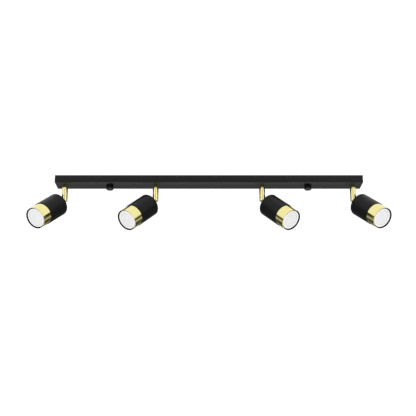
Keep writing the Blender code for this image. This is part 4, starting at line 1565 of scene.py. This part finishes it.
@dataclass
class SpotLamp:
    """The round bayonet lamp: shell, frosted lens, base and its two contact pins."""

    finishes: Finishes
    nodes: dict[str, Object]
    spots: list[SpotFrame]
    seat_radius: float = 20.4
    seat_depth: float = 2.6
    rim_depth: float = 5.0
    neck: float = 12.6
    waist: tuple[float, float] = (16.5, 90.0)
    cup: tuple[float, float] = (11.0, 84.0)
    pin_circle: float = 5.0
    pin: tuple[float, float, float] = (1.6, 2.5, 4.0)
    lens_rings: int = 3
    fins: int = 36
    fin_gap: float = 0.965

    def build(self) -> None:
        """Models each piece once and places it on every spot."""
        first = self.spots[0]
        body, lens, base = (
            Span.of(self.nodes[f"{kind}_1"], first.head) for kind in ("lamp_body", "lamp_lens", "lamp_base")
        )
        pieces = [
            ("lamp_shell", self.shell(body), self.finishes.lamp, "lamp_body"),
            ("frosted_lens", self.lens(lens), self.finishes.lens, "lamp_lens"),
            ("pin_base", self.base(base), self.finishes.lamp, "lamp_base"),
            ("contact_pins", self.pins(base), self.finishes.nickel, None),
        ]
        for name, model, finish, kind in pieces:
            fitting = Fitting(model, finish)
            for spot in self.spots:
                k = spot.number
                node = f"{kind}_{k}" if kind else None
                fitting.set_in(f"{name}_{k}", spot.head, spot.lamp_body, node)
            fitting.discard()

    def shell(self, node: Span) -> Object:
        """The shell: a round rim, a seat for the lens and a finned taper behind."""
        seat = node.high - self.seat_depth
        waist_radius, waist = self.waist
        cup_radius, cup = self.cup
        profile = [(0, cup)] + rounded([
            (0, cup, 0), (cup_radius, cup, 0.8), (self.seat_radius - 1.4, seat, 0.2),
            (self.seat_radius, seat, 0), (self.seat_radius, node.high, 0.35), (node.radius, node.high, 0.8),
            (node.radius, node.high - self.rim_depth, 0.6),
            (node.radius - 0.9, node.high - self.rim_depth - 0.5, 0.2),
            (node.radius - 1.8, node.high - 12, 3.0), (waist_radius, waist, 8.0),
            (self.neck + 0.6, node.low + 2.2, 1.0), (self.neck, node.low, 0.2), (0, node.low, 0),
        ], closed=False, steps=6)[1:]
        shell = Bench.turned("shell", profile, 4 * self.fins)
        low, high = waist - 4, node.high - 12.5

        def in_groove(place: Vector) -> bool:
            """Whether a place is in the gap between two cooling fins."""
            turn = round(math.atan2(place.y, place.x) / math.tau * 4 * self.fins)
            outside = math.hypot(place.x, place.y) > waist_radius - 3
            return turn % 4 in (0, 1) and outside and low < place.z < high

        Bench.edit(shell, in_groove)
        squeeze = (self.fin_gap, self.fin_gap, 1)
        bpy.ops.transform.resize(value=squeeze, center_override=(0, 0, 0))
        Bench.close_edit()
        return Bench.smooth(shell, 30.0)

    def lens(self, node: Span) -> Object:
        """The lens: a shallow dome with a few concentric steps."""
        edge = node.radius
        crown = node.high
        profile = [(0, node.low), (edge, node.low)]
        profile += [(edge, crown - 0.75), (edge - 0.15, crown - 0.55), (edge - 0.6, crown - 0.42)]
        count = self.lens_rings
        for ring in range(count, 0, -1):
            radius = edge * (0.16 + 0.72 * ring / count)
            top = crown - 0.36 * (radius / edge) ** 2
            profile += [(radius + 0.45, top - 0.03), (radius + 0.2, top - 0.13), (radius - 0.2, top - 0.13)]
            profile += [(radius - 0.45, top)]
        profile += [(edge * 0.08, crown - 0.01), (0, crown)]
        return Bench.smooth(Bench.turned("lens", profile, SIDES), 30.0)

    def base(self, node: Span) -> Object:
        """The base: a short stepped barrel with two flats for the holder's springs."""
        radius = node.radius
        back = node.low + (self.pin[2] + 3.2)
        profile = [(0, back)] + rounded([
            (0, back, 0), (radius, back, 0.8), (radius, node.high - 3.2, 0.2),
            (radius - 0.6, node.high - 2.8, 0.2), (radius - 0.6, node.high, 0.4), (0, node.high, 0),
        ], closed=False, steps=4)[1:]
        base = Bench.turned("base", profile, SIDES)
        cuts = [
            Bench.block("flat", (-4, y - 1, back + 1.2), (4, y + 1, back + 3.8))
            for y in (-radius - 0.2, radius + 0.2)
        ]
        return Bench.eased(Bench.combine(base, cuts), 0.2, 3, 50.0)

    def pins(self, node: Span) -> Object:
        """The pair of headed contact pins."""
        neck, head, head_length = self.pin
        top = node.low + head_length + 3.3
        pins = []
        for x in (-self.pin_circle, self.pin_circle):
            profile = rounded([
                (0, node.low, 0), (head, node.low, 0.6), (head, node.low + head_length, 0.3),
                (neck, node.low + head_length, 0.15), (neck, top, 0), (0, top, 0),
            ], closed=False, steps=4)
            pins.append(Bench.lay(Bench.turned("pin", profile, FINE_SIDES), at=(x, 0, 0)))
        return Bench.smooth(Bench.joined("pins", pins))


@dataclass
class Studio:
    """The floor, the soft light and the camera.

    The stops are pairs of a direction's height, from -1 for straight down to 1 for straight up, and
    the brightness that a reflection finds there. side_stops hold to the sides and in front,
    back_stops behind the fixture, and back_edge gives the Y over which one turns into the other.
    Over front_edge the light dims to front_level towards the viewer.
    """

    floor_drop: float = 2.6
    camera_place: Point = (-0.0023, -2.1296, -0.7565)
    camera_pitch: float = 107.59
    lens: float = 74.4
    key_power: float = 3.0
    daylight: float = 1.14
    side_stops: tuple[tuple[float, float], ...] = (
        (-1.0, 2.0), (-0.62, 1.8), (-0.45, 0.45), (-0.34, 0.15), (-0.19, 0.05), (-0.165, 0.07),
        (-0.145, 0.20), (-0.12, 0.46), (-0.075, 0.54), (-0.03, 0.26), (0.03, 0.09), (0.10, 0.12),
        (0.17, 0.60), (0.25, 1.0), (1.0, 1.0),
    )
    back_stops: tuple[tuple[float, float], ...] = (
        (-1.0, 2.0), (-0.66, 1.8), (-0.50, 0.40), (-0.34, 0.12), (-0.24, 0.05), (-0.145, 0.06),
        (-0.12, 0.28), (-0.075, 0.36), (-0.02, 0.20), (0.03, 0.06), (0.36, 0.04), (0.50, 0.80),
        (0.60, 1.0), (1.0, 1.0),
    )
    back_edge: tuple[float, float] = (0.48, 0.60)
    front_edge: tuple[float, float] = (-0.92, -0.50)
    front_level: float = 0.68

    def build(self) -> None:
        """Sets up everything round the object."""
        self.floor()
        self.world()
        self.lights()
        self.camera()

    def floor(self) -> None:
        """A wide pale floor far below, left out of reflections."""
        Bench.clear()
        bpy.ops.mesh.primitive_plane_add(size=60.0, location=(0, 0, -self.floor_drop))
        floor = bpy.context.object
        floor.name = "studio_floor"
        shader = Shader("pale_floor", (0.86, 0.86, 0.86), 0.8)
        shader.vary_roughness(shader.noise(40.0), 0.75, 0.85)
        floor.data.materials.append(shader.material)
        floor.visible_glossy = False
        floor.visible_diffuse = False

    def world(self) -> None:
        """White to look at and even as light; in reflections, with a dark band behind and below."""
        world = bpy.data.worlds.new("studio_light")
        bpy.context.scene.world = world
        world.use_nodes = True
        nodes, links = world.node_tree.nodes, world.node_tree.links
        nodes.clear()
        direction = nodes.new("ShaderNodeTexCoord")
        split = nodes.new("ShaderNodeSeparateXYZ")
        links.new(direction.outputs["Generated"], split.inputs["Vector"])
        tree = world.node_tree
        height = self.mapped(tree, split.outputs["Z"], (-1.0, 1.0))
        bands = nodes.new("ShaderNodeMix")
        bands.data_type = "RGBA"
        links.new(self.mapped(tree, split.outputs["Y"], self.back_edge), bands.inputs["Factor"])
        for name, stops in (("A", self.side_stops), ("B", self.back_stops)):
            ramp = self.ramp(nodes, stops)
            links.new(height, ramp.inputs["Fac"])
            links.new(ramp.outputs["Color"], self.colour_port(bands.inputs, name))
        dimmed = self.mapped(tree, split.outputs["Y"], self.front_edge, self.front_level)
        mirrored = nodes.new("ShaderNodeBackground")
        links.new(dimmed, mirrored.inputs["Strength"])
        links.new(self.colour_port(bands.outputs, "Result"), mirrored.inputs["Color"])
        plain = nodes.new("ShaderNodeBackground")
        plain.inputs["Color"].default_value = (1.0, 1.0, 1.0, 1.0)
        plain.inputs["Strength"].default_value = self.daylight
        path = nodes.new("ShaderNodeLightPath")
        mix = nodes.new("ShaderNodeMixShader")
        links.new(path.outputs["Is Glossy Ray"], mix.inputs["Fac"])
        links.new(plain.outputs["Background"], mix.inputs[1])
        links.new(mirrored.outputs["Background"], mix.inputs[2])
        output = nodes.new("ShaderNodeOutputWorld")
        links.new(mix.outputs["Shader"], output.inputs["Surface"])

    @staticmethod
    def mapped(
        tree: bpy.types.NodeTree, source: bpy.types.NodeSocket, edge: tuple[float, float], start: float = 0.0
    ) -> bpy.types.NodeSocket:
        """A value between two edges, mapped to run from start to 1.

        Args:
            tree: the world's node tree.
            source: where the value comes from.
            edge: the values that become start and 1.
            start: the lowest result.

        Returns:
            The socket of the result.
        """
        node = tree.nodes.new("ShaderNodeMapRange")
        node.inputs["From Min"].default_value, node.inputs["From Max"].default_value = edge
        node.inputs["To Min"].default_value = start
        tree.links.new(source, node.inputs["Value"])
        return node.outputs["Result"]

    @staticmethod
    def colour_port(ports: Iterable[bpy.types.NodeSocket], name: str) -> bpy.types.NodeSocket:
        """The colour socket of this name on a Mix node, which has one for each kind of value."""
        return next(port for port in ports if port.name == name and port.type == "RGBA")

    @staticmethod
    def ramp(nodes: bpy.types.Nodes, stops: Iterable[tuple[float, float]]) -> bpy.types.Node:
        """A grey ramp from straight down to straight up.

        Args:
            nodes: the world's nodes.
            stops: pairs of a direction's height, from -1 to 1, and its brightness.

        Returns:
            The ramp node.
        """
        ramp = nodes.new("ShaderNodeValToRGB")
        elements = ramp.color_ramp.elements
        places = [((height + 1.0) / 2.0, value) for height, value in stops]
        for place in places[1:-1]:
            elements.new(place[0])
        for element, (position, value) in zip(elements, places):
            element.position = position
            element.color = (value, value, value, 1.0)
        return ramp

    def lights(self) -> None:
        """Two large soft lights above the front, one on each side."""
        for name, x in (("soft_left", -1.6), ("soft_right", 1.6)):
            light = bpy.data.lights.new(name, "AREA")
            light.shape = "DISK"
            light.size = 1.6
            light.energy = self.key_power
            lamp = bpy.data.objects.new(name, light)
            bpy.context.collection.objects.link(lamp)
            lamp.location = (x, -2.0, 1.4)
            aim = Vector((0, 0, -0.1)) - lamp.location
            lamp.rotation_euler = aim.to_track_quat("-Z", "Y").to_euler()

    def camera(self) -> None:
        """The camera, below the bar and looking up at it."""
        data = bpy.data.cameras.new("camera")
        data.lens = self.lens
        data.sensor_width = 36.0
        data.clip_start = 0.01
        camera = bpy.data.objects.new("camera", data)
        bpy.context.collection.objects.link(camera)
        camera.location = self.camera_place
        camera.rotation_euler = (math.radians(self.camera_pitch), 0, 0)
        bpy.context.scene.camera = camera
        bpy.context.scene.view_settings.view_transform = "Standard"


def main() -> None:
    """Builds the fixture's looks round the frame, sub-assembly by sub-assembly."""
    logging.basicConfig(level=logging.INFO, format="%(name)s: %(message)s")
    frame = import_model()
    nodes, joints = frame["nodes"], frame["joints"]
    finishes = Finishes()
    spots = [SpotFrame.read(joints, number, HOLDER_FACE) for number in range(1, 5)]
    assemblies = [
        CeilingBar(finishes, spots),
        BarFixings(finishes, nodes),
        Wiring(finishes, spots),
        SpotArm(finishes, nodes, spots),
        SpotHead(finishes, nodes, spots),
        SpotLamp(finishes, nodes, spots),
        Studio(),
    ]
    for assembly in assemblies:
        assembly.build()
        LOG.info("%s is done", type(assembly).__name__)
    Bench.clear()


if __name__ == "__main__":
    main()
